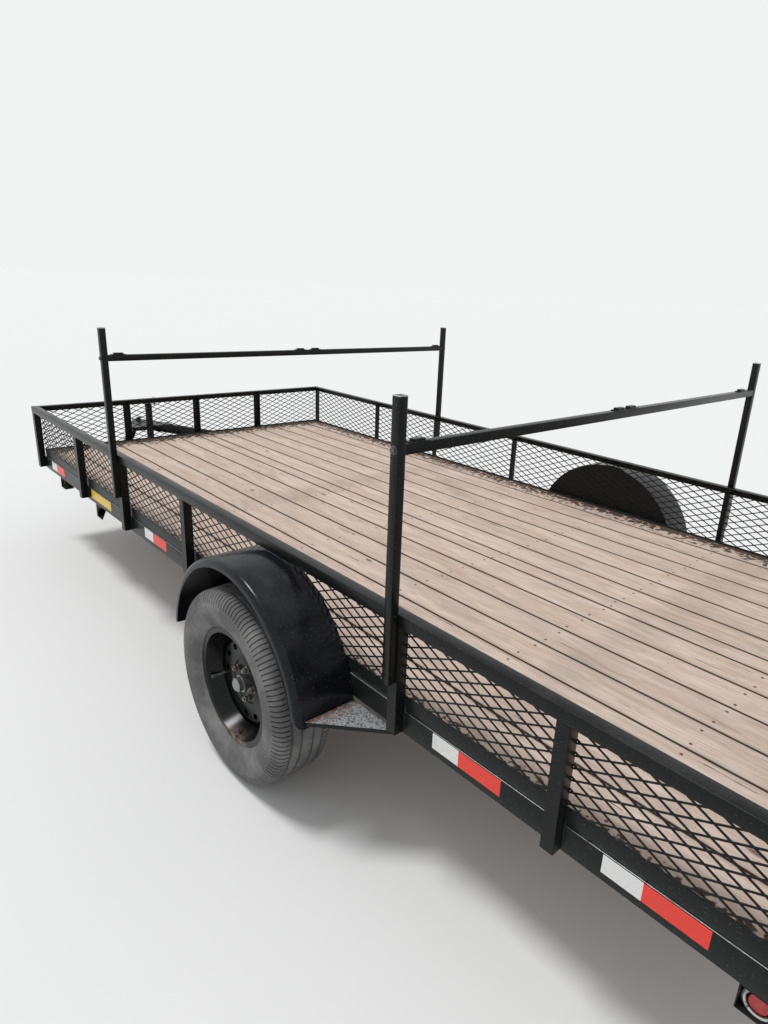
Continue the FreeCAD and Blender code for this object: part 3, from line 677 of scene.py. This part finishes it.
@dataclass(frozen=True)
class DullMetal(Finish):
    """Zinc or bare steel, dulled in patches, with rust specks."""

    metal: Colour = (0.42, 0.42, 0.41)
    rust: Colour = (0.12, 0.04, 0.016)
    rust_cover: float = 0.34

    def dress(self, sheet: Sheet) -> None:
        """Metal mottled in brightness, with specks of rust."""
        mottle = sheet.patches(24.0, 0.52, 0.3)
        dark = tuple(0.5 * part for part in self.metal)
        rusty = sheet.patches(60.0, self.rust_cover, 0.05)
        sheet.feed("Base Color", sheet.mix(rusty, sheet.mix(mottle, self.metal, dark), self.rust))
        sheet.feed("Metallic", sheet.maths("SUBTRACT", 0.9, rusty))
        sheet.feed("Roughness", sheet.spread(mottle, 0.0, 1.0, 0.36, 0.58))
        sheet.bump(mottle, 0.0002)


@dataclass(frozen=True)
class LampLens(Finish):
    """Moulded lens plastic with fine ribs and a dusty film."""

    tint: Colour = (0.5, 0.012, 0.014)
    dust: Colour = (0.4, 0.3, 0.26)

    def dress(self, sheet: Sheet) -> None:
        """Clear-coated colour with ribs across Z."""
        film = sheet.patches(30.0, 0.44, 0.3)
        sheet.feed("Base Color", sheet.mix(sheet.times(film, 0.3), self.tint, self.dust))
        sheet.feed("Roughness", sheet.spread(film, 0.0, 1.0, 0.14, 0.4))
        sheet.feed("Coat Weight", 0.6)
        ribs = sheet.add("ShaderNodeTexWave", {"Vector": sheet.where, "Scale": 90.0}, bands_direction="Z")
        sheet.bump(ribs.outputs[1], 0.0006)


@dataclass(frozen=True)
class TapeFilm(Finish):
    """Reflective tape: a colour under a fine honeycomb, with dirt on it."""

    film: Colour = (0.8, 0.8, 0.78)
    grime: Colour = (0.16, 0.14, 0.12)

    def dress(self, sheet: Sheet) -> None:
        """Cells, dirt and a satin surface."""
        inputs = {"Vector": sheet.where, "Scale": 210.0}
        cells = sheet.add("ShaderNodeTexVoronoi", inputs, feature="DISTANCE_TO_EDGE").outputs[0]
        line = sheet.spread(cells, 0.02, 0.1, 0.35, 0.0)
        base = sheet.mix(line, self.film, tuple(0.55 * part for part in self.film))
        grime = sheet.patches(22.0, 0.45, 0.3)
        sheet.feed("Base Color", sheet.mix(sheet.times(grime, 0.2), base, self.grime))
        sheet.feed("Roughness", sheet.spread(grime, 0.0, 1.0, 0.3, 0.6))
        sheet.bump(cells, 0.0002)


@dataclass(frozen=True)
class Backdrop(Finish):
    """Pale floor that shows near white to the camera and in reflections."""

    tone: Colour = (0.8, 0.8, 0.79)
    shade: Colour = (0.76, 0.76, 0.75)

    def dress(self, sheet: Sheet) -> None:
        """Even matt tone with a very faint mottle."""
        mottle = sheet.times(sheet.patches(30.0, 0.5, 0.5), 0.1)
        sheet.feed("Base Color", sheet.mix(mottle, self.tone, self.shade))
        sheet.feed("Roughness", 0.95)


FRAME_PAINT = WornPaint("frame_black", paint=(0.009, 0.012, 0.0105), rust_cover=0.32, roughness=0.36)
RAIL_PAINT = WornPaint("rail_black", dust_and_sheen_cover=0.5, dust_and_sheen_amount=0.55)
MESH_PAINT = WornPaint("mesh_black", rust_cover=0.33, roughness=0.4)
FENDER_PAINT = WornPaint(
    "fender_black", paint=(0.006, 0.0065, 0.009), dust_and_sheen_cover=0.5, dust_and_sheen_amount=0.45, roughness=0.2
)
STEP_PLATE = TreadPlate("tread_plate")
RACK_PAINT = WornPaint("rack_black", dust_and_sheen_cover=0.4, dust_and_sheen_amount=0.4, roughness=0.28)
AXLE_PAINT = WornPaint("axle_black", rust_cover=0.42, roughness=0.6)
RUBBER = DustyRubber("dusty_rubber")
BOLT_STEEL = DullMetal("bolt_steel", metal=(0.3, 0.29, 0.28), rust_cover=0.47)
RACK_BOLT = DullMetal("rack_bolt", metal=(0.12, 0.12, 0.12), rust_cover=0.42)
SCREW_HEAD = DullMetal("screw_head", metal=(0.12, 0.10, 0.09), rust_cover=0.55)
BEZEL_STEEL = DullMetal("bezel_steel", metal=(0.55, 0.55, 0.55), rust_cover=0.4)
# Bright metal for the painted highlight, the glint along the top edges of the lower side angles.
GLINT_EDGE = DullMetal("painted_glint_edge", metal=(0.5, 0.51, 0.5), rust_cover=0.38)
CAP_STEEL = DullMetal("cap_steel", metal=(0.62, 0.62, 0.6), rust_cover=0.36)
WHITE_TAPE = TapeFilm("white_tape")
RED_TAPE = TapeFilm("red_tape", film=(0.86, 0.04, 0.02))
YELLOW_PLATE = TapeFilm("yellow_plate", film=(0.8, 0.52, 0.03))
FLOOR = Backdrop("pale_floor")

NODE_FINISHES: dict[str, Finish] = {
    "frame": FRAME_PAINT,
    "sill": FRAME_PAINT,
    "top_rail": RAIL_PAINT,
    "stakes": RAIL_PAINT,
    "mesh": MESH_PAINT,
    "fender": FENDER_PAINT,
    "fender_steps": STEP_PLATE,
    "cross_members": FRAME_PAINT,
    "deck_boards": WeatheredBoards("bleached_boards"),
    "axle": AXLE_PAINT,
    "leaf_springs": WornPaint("spring_steel", paint=(0.02, 0.016, 0.014), rust_cover=0.5, roughness=0.6),
    "spring_hangers": AXLE_PAINT,
    "tongue_beams": FRAME_PAINT,
    "coupler": FRAME_PAINT,
    "jack": DullMetal("dull_zinc"),
    "jack_tube": RAIL_PAINT,
    "rack": RACK_PAINT,
    "lamp_guards": RAIL_PAINT,
    "rear_lamps": LampLens("red_lens"),
    "front_markers": LampLens("amber_lens", tint=(0.75, 0.2, 0.01)),
    "gate": RAIL_PAINT,
    "tyre": RUBBER,
    "rim": WheelPaint("wheel_black", rust_cover=0.3, roughness=0.22),
    "hub": DullMetal("hub_steel", metal=(0.25, 0.25, 0.25), rust_cover=0.44),
}


def finish_of(node: str) -> Finish:
    """The finish of the longest word that starts a node's name."""
    return NODE_FINISHES[max((word for word in NODE_FINISHES if node.startswith(word)), key=len)]


def dress(obj: Piece, finish: Finish, body: str = "trailer") -> None:
    """Give a new piece its finish and its body.

    Args:
        obj: the piece, in place.
        finish: its finish.
        body: the body that carries it.
    """
    obj.data.materials.clear()
    obj.data.materials.append(finish.material())
    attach(obj, body)
    LOG.info("%s rides on %s", obj.name, body)


def dress_nodes() -> None:
    """Give every CAD node its finish."""
    for name, node in FRAME["nodes"].items():
        made = finish_of(name).material()
        if not node.material_slots:
            node.data.materials.append(made)
        for held in node.material_slots:
            held.material = made


# The trailer's sub-assemblies


@dataclass
class ExpandedPanel:
    """Expanded metal at its real pitch, in place of a plain panel node."""

    node: str
    body: str
    long_way: float = 0.0762
    short_way: float = 0.0339
    strand: float = 0.0046
    depth: float = 0.0026
    falling_share: float = 0.85
    inset: float = 0.0012
    sill_lap: float = 0.003
    rail_gap: float = 0.007

    def strand_bar(self, rise: float) -> Piece:
        """One strand across a diamond, from its lower to its upper corner.

        Args:
            rise: 1.0 for a strand that climbs along X, -1.0 for a thinner one that falls.

        Returns:
            The strand in the XZ plane.
        """
        length = math.hypot(self.long_way, self.short_way)
        half = self.depth / 2 * (1.0 if rise > 0 else self.falling_share)
        bar = block("strand", (-length / 2, -half, -self.strand / 2), (length / 2, half, self.strand / 2))
        bar.rotation_euler = Euler((0.0, -rise * math.atan2(self.short_way, self.long_way), 0.0))
        return settle(bar)

    def build(self) -> None:
        """Repeat a crossed pair of strands, trim them to the panel and put it in the node's place."""
        low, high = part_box(self.node)
        if self.body == "trailer":
            low.z = max(low.z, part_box("sill_left")[1].z - self.sill_lap)
            high.z = min(high.z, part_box("top_rail_left")[1].z - self.rail_gap)
        across = high.x - low.x < high.y - low.y
        width = (high.y - low.y) if across else (high.x - low.x)
        height = high.z - low.z
        columns = round((width - 2 * self.inset) / self.long_way)
        rows = round((height - 2 * self.inset) / self.short_way)
        self.long_way = (width - 2 * self.inset) / columns
        self.short_way = (height - 2 * self.inset) / rows
        cell = joined("cell", [self.strand_bar(1.0), self.strand_bar(-1.0)])
        take(cell)
        for count, step in ((columns, (self.long_way, 0.0, 0.0)), (rows, (0.0, 0.0, self.short_way))):
            row = cell.modifiers.new("row", "ARRAY")
            row.count = count
            row.use_relative_offset = False
            row.use_constant_offset = True
            row.constant_offset_displace = step
            bpy.ops.object.modifier_apply(modifier=row.name)
        corner = self.inset - width / 2, self.inset - height / 2
        cell.location = corner[0] + self.long_way / 2, 0.0, corner[1] + self.short_way / 2
        settle(cell)
        with editing(cell):
            for way in ((1, 0, 0), (-1, 0, 0), (0, 0, 1), (0, 0, -1)):
                cut((way[0] * width / 2, 0, way[2] * height / 2), way)
        if across:
            cell.rotation_euler = Euler((0.0, 0.0, -math.pi / 2))
        cell.location = (low + high) / 2
        settle(cell)
        cell.name = "expanded_" + self.node
        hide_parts(self.node)
        dress(cell, MESH_PAINT, self.body)


@dataclass
class Markings:
    """Reflective tape and the blank yellow plate on the lower side angles."""

    red_length: float = 0.1524
    white_length: float = 0.1016
    height: float = 0.0508
    below_top: float = 0.0545
    thickness: float = 0.0006
    plate_start: float = 0.921
    plate_end: float = 1.228
    tape_starts: tuple[float, ...] = (0.175, 1.691, 3.757, 4.317)

    def strip(self, name: str, side: Side, start: float, end: float) -> Piece:
        """A thin strip on a side angle's face.

        Args:
            name: name of the piece.
            side: the trailer's side.
            start: distance back of the bed's front where it starts.
            end: distance back where it ends.

        Returns:
            The strip.
        """
        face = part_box("frame_rail_left")[1].y
        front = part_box("top_rail_left")[1].x
        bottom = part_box("frame_rail_left")[1].z - self.below_top
        x, y = (front - end, front - start), (face, face + self.thickness)
        return side_block(name, side, x, y, (bottom, bottom + self.height), self.thickness * 0.3)

    def build(self) -> None:
        """Lay the tapes and the plate on both sides, the white ahead of the red."""
        for side in Side:
            whites, reds = [], []
            for start in self.tape_starts:
                middle = start + self.white_length
                whites.append(self.strip("white", side, start, middle))
                reds.append(self.strip("red", side, middle, middle + self.red_length))
            dress(joined("white_tape_" + side.word, whites), WHITE_TAPE)
            dress(joined("red_tape_" + side.word, reds), RED_TAPE)
            plate = self.strip("yellow_plate_" + side.word, side, self.plate_start, self.plate_end)
            dress(plate, YELLOW_PLATE)


@dataclass
class RoadTyre:
    """Road tyre with a bulged sidewall, a rib at the rim, grooved tread and fine shoulder sipes."""

    side: Side
    steps: int = 480
    every: int = 4
    sipe: float = 0.006
    shoulder: Span = (0.0655, 0.1095)
    shoulder_radius: float = 0.320

    def outline(self) -> list[Span]:
        """Closed outline of the tyre's section.

        Returns:
            Pairs of distance from the tyre's plane and radius.
        """
        half = [
            (0.0735, 0.2045), (0.0740, 0.2212), (0.0840, 0.2215), (0.0868, 0.2235), (0.0885, 0.2290),
            (0.0985, 0.2400), (0.1072, 0.2570), (0.1110, 0.2740), (0.1122, 0.2900), (0.1115, 0.3010),
            (0.1122, 0.3020), (0.1103, 0.3180), (0.1065, 0.3310), (0.1010, 0.3415), (0.0955, 0.3482),
            (0.0890, 0.3528), (0.0790, 0.3562), (0.0650, 0.3580), (0.0640, 0.3500), (0.0560, 0.3500),
            (0.0550, 0.3585), (0.0280, 0.3595), (0.0270, 0.3515), (0.0190, 0.3515), (0.0180, 0.3597),
        ]
        return half + [(-offset, radius) for offset, radius in reversed(half)]

    def build(self) -> None:
        """Spin the section and press the sipes into the shoulders."""
        low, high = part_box("tyre_" + self.side.word)
        centre = (low + high) / 2
        tyre = spun("road_tyre_" + self.side.word, self.outline(), tuple(centre), self.steps)
        with editing(tyre):
            bpy.ops.mesh.select_mode(type="FACE")
            bpy.ops.mesh.select_all(action="DESELECT")
        near, far = self.shoulder
        for face in tyre.data.polygons:
            away = face.center - centre
            turn = math.atan2(away.z, away.x) / (2 * math.pi) * self.steps
            inside = near < abs(away.y) < far and math.hypot(away.x, away.z) > self.shoulder_radius
            face.select = inside and math.floor(turn + self.steps) % self.every == 0
        bpy.ops.object.mode_set(mode="EDIT")
        bpy.ops.mesh.extrude_region_shrink_fatten(TRANSFORM_OT_shrink_fatten={"value": -self.sipe})
        bpy.ops.object.mode_set(mode="OBJECT")
        smooth(tyre, 30.0)
        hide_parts("tyre_" + self.side.word)
        dress(tyre, RUBBER, "wheel_" + self.side.word)


@dataclass
class WheelTrim:
    """Lug nuts, studs and valve of one wheel, counted outwards from the tyre's plane."""

    side: Side
    nuts: int = 5
    circle: float = 0.0601
    nut: tuple[Stub, ...] = (
        Stub("nut", 0.028, 0.044, 0.0108, 6, 0.0012),
        Stub("seat", 0.028, 0.031, 0.0128, 24, 0.0008),
        Stub("stud", 0.028, 0.050, 0.006, 16, 0.001),
    )
    valve: tuple[Stub, ...] = (
        Stub("stem", 0.018, 0.070, 0.0045, 16),
        Stub("cap", 0.058, 0.074, 0.0058, 16, 0.001),
    )
    valve_ahead: float = 0.1715
    valve_down: float = 0.0475

    def build(self) -> None:
        """Put the nuts on the disc and the valve through the rim."""
        low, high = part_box("tyre_" + self.side.word)
        centre = (low + high) / 2
        body = "wheel_" + self.side.word
        pieces = []
        for place in range(self.nuts):
            turn = 2 * math.pi * (place + 0.5) / self.nuts
            x = centre.x + self.circle * math.cos(turn)
            z = centre.z + self.circle * math.sin(turn)
            pieces += [stub.build(self.side, x, centre.y, z) for stub in self.nut]
        dress(joined("lug_nuts_" + self.side.word, pieces), BOLT_STEEL, body)
        x, z = centre.x + self.valve_ahead, centre.z - self.valve_down
        pieces = [stub.build(self.side, x, centre.y, z) for stub in self.valve]
        dress(joined("valve_" + self.side.word, pieces), RUBBER, body)


@dataclass
class RolledFender:
    """Fender with its flat back, a round bead along the outer edge and rounded lower corners."""

    side: Side
    roll: float = 0.022
    lip: float = 0.010
    sheet: float = 0.0025
    corner: float = 0.028
    steps: int = 180

    def outline(self, inner: float, outer: float, top: float) -> list[Span]:
        """Closed section of the fender from its flat back round the bead to the lip.

        Args:
            inner: distance of the back's outer face from the centre plane.
            outer: distance of the lip's outer face.
            top: radius of the fender's top.

        Returns:
            Pairs of distance from the centre plane and radius.
        """
        arc = [math.radians(step) for step in range(90, -1, -15)]
        out, roll, thin = outer - self.roll, self.roll, self.roll - self.sheet
        outside = [(out + roll * math.cos(a), top - roll + roll * math.sin(a)) for a in arc]
        inside = [(out + thin * math.cos(a), top - roll + thin * math.sin(a)) for a in reversed(arc)]
        edge = top - self.roll - self.lip
        back = [(inner + self.sheet, top - self.sheet), (inner + self.sheet, 0.0), (inner, 0.0), (inner, top)]
        return back + outside + [(outer, edge), (outer - self.sheet, edge)] + inside

    def build(self) -> None:
        """Spin the section, cut it off at the bottom and round the outer corners."""
        node = "fender_" + self.side.word
        low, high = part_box(node)
        inner, outer = sorted((abs(low.y), abs(high.y)))
        half, rise = (high.x - low.x) / 2, high.z - low.z
        top = (half * half + rise * rise) / (2 * rise)
        middle = Vector(((low.x + high.x) / 2, 0.0, high.z - top))
        pan = spun("rolled_" + node, self.outline(inner, outer, top), tuple(middle), self.steps)
        with editing(pan):
            for degrees in range(0, 90, 15):
                angle = math.radians(degrees)
                away = Vector((0.0, math.sin(angle), -math.cos(angle)))
                cut(Vector((0.0, outer - self.corner, low.z + self.corner)) + away * self.corner, away)
            if self.side is Side.RIGHT:
                bpy.ops.mesh.select_all(action="SELECT")
                bpy.ops.transform.mirror(constraint_axis=(False, True, False), center_override=(0, 0, 0))
            weld(0.00002)
            bpy.ops.mesh.normals_make_consistent(inside=False)
        smooth(pan, 35.0)
        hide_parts(node)
        dress(pan, FENDER_PAINT)


@dataclass
class StepTread:
    """Raised lozenges on the three-cornered steps behind the fenders."""

    pitch: float = 0.026
    length: float = 0.017
    width: float = 0.005
    rise: float = 0.0012
    ease: float = 0.0008
    front_margin: float = 0.014
    inner_margin: float = 0.016
    edge_margin: float = 0.018

    def build(self) -> None:
        """Lay crossed rows of lozenges inside the triangle of each step."""
        low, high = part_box("fender_steps")
        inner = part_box("frame_rail_left")[1].y
        half, wide = self.length / 2, self.width / 2
        lozenge = block("lozenge", (-half, -wide, 0.0), (half, wide, self.rise), self.ease)
        places = []
        for i in range(int((high.x - low.x) / self.pitch)):
            for j in range(int((high.y - inner) / self.pitch)):
                x = high.x - self.front_margin - i * self.pitch
                y = inner + self.inner_margin + j * self.pitch
                reach = inner + (high.y - inner) * (x - low.x) / (high.x - low.x)
                if y > reach - self.edge_margin:
                    continue
                turn = Matrix.Rotation(math.radians(45 if (i + j) % 2 else -45), 4, "Z")
                places += [at(x, side.value * y, high.z) @ turn for side in Side]
        dress(joined("step_lozenges", copies(lozenge, places)), STEP_PLATE)


@dataclass
class StepLip:
    """Folded lip along the long edge of each step, from its outer corner to the side angle."""

    drop: float = 0.016
    thickness: float = 0.003
    ease: float = 0.001
    set_in: float = 0.003
    lap: float = 0.0004

    def build(self) -> None:
        """Hang a thin plate under the slanted edge on both sides."""
        low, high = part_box("fender_steps")
        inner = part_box("frame_rail_left")[1].y
        run, reach = high.x - low.x, high.y - inner
        half, thin = math.hypot(run, reach) / 2, self.thickness / 2
        x, y = (low.x + high.x) / 2 + self.set_in, (inner + high.y) / 2 - self.set_in
        lips = []
        for side in Side:
            lip = block("lip", (-half, -thin, -self.drop), (half, thin, 0.0), self.ease)
            lip.rotation_euler = Euler((0.0, 0.0, side.value * math.atan2(reach, run)))
            lip.location = x, side.value * y, low.z + self.lap
            lips.append(settle(lip))
        dress(joined("step_lips", lips), FRAME_PAINT)


@dataclass
class PaintedGlintEdges:
    """Painted highlight: a thin bright metal strip along the top edge of each lower side angle, standing for
    the glint of light on that edge.
    """

    width: float = 0.0026
    rise: float = 0.0006
    ease: float = 0.0005
    end_gap: float = 0.01

    def build(self) -> None:
        """Lay one thin strip over the edge on both sides."""
        strips = []
        for side in Side:
            low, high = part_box("frame_rail_" + side.word)
            edge = max(abs(low.y), abs(high.y))
            x, y = (low.x + self.end_gap, high.x - self.end_gap), (edge - self.width, edge + self.rise)
            z = high.z - self.rise, high.z + self.rise
            strips.append(side_block("strip", side, x, y, z, self.ease))
        # The strips are a painted highlight: they stand for the glint of light along each edge.
        dress(joined("painted_glint_edges", strips), GLINT_EDGE)


@dataclass
class RoundedSteel:
    """Rolled and drawn steel with its edges eased, in place of sharp CAD pieces."""

    nodes: tuple[str, ...] = (
        "frame_rail_left", "frame_rail_right", "sill_left", "sill_right", "top_rail_left", "top_rail_right",
        "top_rail_front", "stakes_left", "stakes_right", "stakes_front", "frame_header_front", "sill_front",
        "rack_uprights", "rack_bar_front", "rack_bar_rear", "tongue_beams", "lamp_guards", "fender_steps",
    )
    ease: float = 0.0014
    sharp: float = 35.0

    def build(self) -> None:
        """Ease every edge and dress each piece as its node."""
        for node in self.nodes:
            piece = refined(node, "eased_" + node, self.sharp, self.ease)
            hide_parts(node)
            dress(piece, finish_of(node))


@dataclass
class RackFittings:
    """Bolt heads where the bars meet the uprights, pale caps, and small load stops on the two rack bars.

    A stop's foot and lump have a margin, half a width, a bottom, a top and a bevel each.
    """

    bolt: tuple[Stub, ...] = (
        Stub("washer", 0.0, 0.0016, 0.0125, 24, 0.0004),
        Stub("head", 0.0014, 0.0078, 0.0095, 6, 0.0008),
    )
    cap_lap: float = 0.0003
    cap_reach: float = 0.0002
    cap_height: float = 0.0034
    cap_ease: float = 0.0012
    foot: tuple[float, ...] = (0.001, 0.034, -0.001, 0.003, 0.0012)
    lump: tuple[float, ...] = (0.004, 0.022, 0.0, 0.010, 0.003)
    rear_stops: tuple[float, ...] = (1.06, 0.07, -0.012, -1.0)
    front_stops: tuple[float, ...] = (1.06, 0.035, -0.067, -1.06)

    def build(self) -> None:
        """Bolt the bars to the uprights, cap these and put the stops on the bars."""
        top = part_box("rack_uprights")[1]
        bolts, caps, stops = [], [], []
        for bar, places in (("rack_bar_front", self.front_stops), ("rack_bar_rear", self.rear_stops)):
            low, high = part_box(bar)
            x, z = (low.x + high.x) / 2, (low.z + high.z) / 2
            for side in Side:
                bolts += [stub.build(side, x, side.value * top.y, z) for stub in self.bolt]
                along = low.x - self.cap_lap, high.x + self.cap_lap
                across = high.y - self.cap_reach, top.y + self.cap_reach
                upright = top.z - self.cap_height, top.z
                caps.append(side_block("cap", side, along, across, upright, self.cap_ease))
            for y in places:
                for name, (margin, half, bottom, rise, ease) in (("foot", self.foot), ("lump", self.lump)):
                    start = (low.x + margin, y - half, high.z + bottom)
                    stops.append(block(name, start, (high.x - margin, y + half, high.z + rise), ease))
        dress(joined("rack_bolts", bolts), RACK_BOLT)
        dress(joined("rack_caps", caps), CAP_STEEL)
        dress(joined("bar_stops", stops), RACK_PAINT)


@dataclass
class LampBezels:
    """Pale rings round the rear side lamps."""

    back: float = 4.678
    lens: float = 0.027
    sunk: float = 0.002
    steps: int = 48
    section: tuple[Span, ...] = (
        (-0.006, 0.0255), (0.003, 0.0255), (0.005, 0.0295), (0.003, 0.0338), (-0.006, 0.0338),
    )

    def build(self) -> None:
        """Spin a small half-round ring and set it on each side lamp."""
        low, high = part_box("rear_lamps")
        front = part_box("top_rail_left")[1].x
        for side in Side:
            centre = (front - self.back, side.value * (high.y - self.sunk), low.z + self.lens)
            outline = [(side.value * y, radius) for y, radius in self.section]
            ring = spun("bezel_" + side.word, outline, centre, self.steps)
            dress(smooth(ring, 50.0), BEZEL_STEEL)


@dataclass
class DeckScrews:
    """Screws through the boards into the cross members."""

    members: int = 7
    full_boards: int = 14
    narrow_place: int = 7
    narrow_share: float = 0.6364
    gap: float = 0.004
    head: float = 0.0052
    ends: Span = (-0.001, 0.0005)
    shares: Span = (0.2, 0.8)
    set_back: float = 0.018
    jog: float = 0.006

    def build(self) -> None:
        """Two sunk heads in every board over every cross member."""
        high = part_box("deck_boards")[1]
        rear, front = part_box("top_rail_left")[0].x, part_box("top_rail_left")[1].x
        full = (2 * high.y - self.full_boards * self.gap) / (self.full_boards + self.narrow_share)
        seed = random.Random(7)
        head = round_bar("screw", *((0, 0, end) for end in self.ends), self.head, 12, 0.0003)
        places = []
        y = high.y
        for board in range(self.full_boards + 1):
            width = full * self.narrow_share if board == self.narrow_place else full
            for member in range(1, self.members + 1):
                x = front - member * (front - rear) / (self.members + 1) - self.set_back
                for share in self.shares:
                    jog_x, jog_y = seed.uniform(-self.jog, self.jog), seed.uniform(-self.jog, self.jog)
                    places.append(at(x + jog_x, y - width * share + jog_y, high.z))
            y -= width + self.gap
        dress(joined("deck_screws", copies(head, places)), SCREW_HEAD)


@dataclass
class WeldBeads:
    """Weld beads where the stakes' feet meet the lower side angles."""

    radius: float = 0.0028
    stakes: tuple[float, ...] = (0.845, 1.503, 2.231, 3.616, 4.191)
    half_stake: float = 0.01905
    edges: Span = (-0.0004, 0.0052)
    proud: float = 0.0008
    foot_gap: float = 0.002
    edge_gap: float = 0.003

    def build(self) -> None:
        """A short bead at each side of every stake's inner leg."""
        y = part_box("frame_rail_left")[1].y + self.proud
        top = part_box("frame_rail_left")[1].z - self.edge_gap
        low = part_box("stakes_left")[0].z + self.foot_gap
        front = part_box("top_rail_left")[1].x
        beads = []
        for back in self.stakes:
            for side in Side:
                for edge in self.edges:
                    x = front - back - self.half_stake + edge
                    ends = (x, side.value * y, low), (x, side.value * y, top)
                    beads.append(round_bar("bead", *ends, self.radius, 10, 0.001))
        dress(joined("stake_welds", beads), FRAME_PAINT)


# Stage, light and camera


@dataclass
class Studio:
    """Pale floor, soft light and the photograph's viewpoint."""

    reach: float = 600.0
    sun_tilt: Span = (-12.3, 18.3)
    sun_height: float = 6.0
    sun_energy: float = 1.7
    sun_width: float = 14.0
    light: Colour = (0.96, 0.98, 1.0)
    light_strength: float = 0.62
    shown: Colour = (0.888, 0.904, 0.904)
    eye_back: float = 4.8568
    eye_left: float = 2.23255
    eye_height: float = 1.7435
    lens: float = 23.3405
    shift_right: float = -0.03885
    shift_up: float = -0.00409
    turn: tuple[Point, Point, Point] = (
        (-0.68419499, 0.26414412, -0.67978313),
        (-0.72739167, -0.17978928, 0.66225159),
        (0.05271215, 0.9475778, 0.31514716),
    )

    def build(self) -> None:
        """Make the floor, the world, the sun and the camera."""
        deselect()
        bpy.ops.mesh.primitive_plane_add(size=self.reach, location=(0.0, 0.0, 0.0))
        floor = bpy.context.object
        floor.name = "studio_floor"
        floor.data.materials.append(FLOOR.material())
        self.world()
        deselect()
        tilt = (*(math.radians(degrees) for degrees in self.sun_tilt), 0.0)
        bpy.ops.object.light_add(type="SUN", location=(0.0, 0.0, self.sun_height), rotation=tilt)
        sun = bpy.context.object
        sun.name = "key_light"
        sun.data.energy = self.sun_energy
        sun.data.angle = math.radians(self.sun_width)
        self.camera()

    def world(self) -> None:
        """Even soft light from all round, with a pale backdrop to the camera and in gloss."""
        world = bpy.data.worlds.new("studio")
        world.use_nodes = True
        world.node_tree.nodes.clear()
        sheet = Sheet(world.node_tree, "")
        path = sheet.add("ShaderNodeLightPath")
        seen = sheet.maths("MAXIMUM", path.outputs["Is Camera Ray"], path.outputs["Is Glossy Ray"])
        seen = sheet.maths("MAXIMUM", seen, path.outputs["Is Transmission Ray"])
        light, shown = (
            sheet.add("ShaderNodeBackground", {"Color": (*tone, 1.0), "Strength": strength})
            for tone, strength in ((self.light, self.light_strength), (self.shown, 1.0))
        )
        blend = sheet.add("ShaderNodeMixShader", {0: seen, 1: light.outputs[0], 2: shown.outputs[0]})
        sheet.add("ShaderNodeOutputWorld", {0: blend.outputs[0]})
        bpy.context.scene.world = world

    def camera(self) -> None:
        """Stand the camera where the photograph was taken."""
        data = bpy.data.cameras.new("view")
        data.lens = self.lens
        data.sensor_width = 36.0
        data.shift_x = self.shift_right
        data.shift_y = self.shift_up
        data.clip_end = self.reach
        camera = bpy.data.objects.new("view", data)
        bpy.context.scene.collection.objects.link(camera)
        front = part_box("top_rail_left")[1].x
        place = at(front - self.eye_back, self.eye_left, self.eye_height)
        camera.matrix_world = place @ Matrix(self.turn).to_4x4()
        bpy.context.scene.camera = camera


def main() -> None:
    """Build the looks in order, from the panels to the studio."""
    logging.basicConfig(level=logging.INFO, format="%(message)s")
    dress_nodes()
    for node in ("mesh_left", "mesh_right", "mesh_front"):
        ExpandedPanel(node, "trailer").build()
    ExpandedPanel("gate_mesh", "gate").build()
    Markings().build()
    for side in Side:
        for kind in (RoadTyre, WheelTrim, RolledFender):
            kind(side).build()
    steel = (StepTread, StepLip, PaintedGlintEdges, RoundedSteel, RackFittings, LampBezels, DeckScrews, WeldBeads)
    for kind in (*steel, Studio):
        kind().build()


if __name__ == "__main__":
    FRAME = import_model()
    main()
    bpy.context.scene.view_settings.view_transform = "Standard"
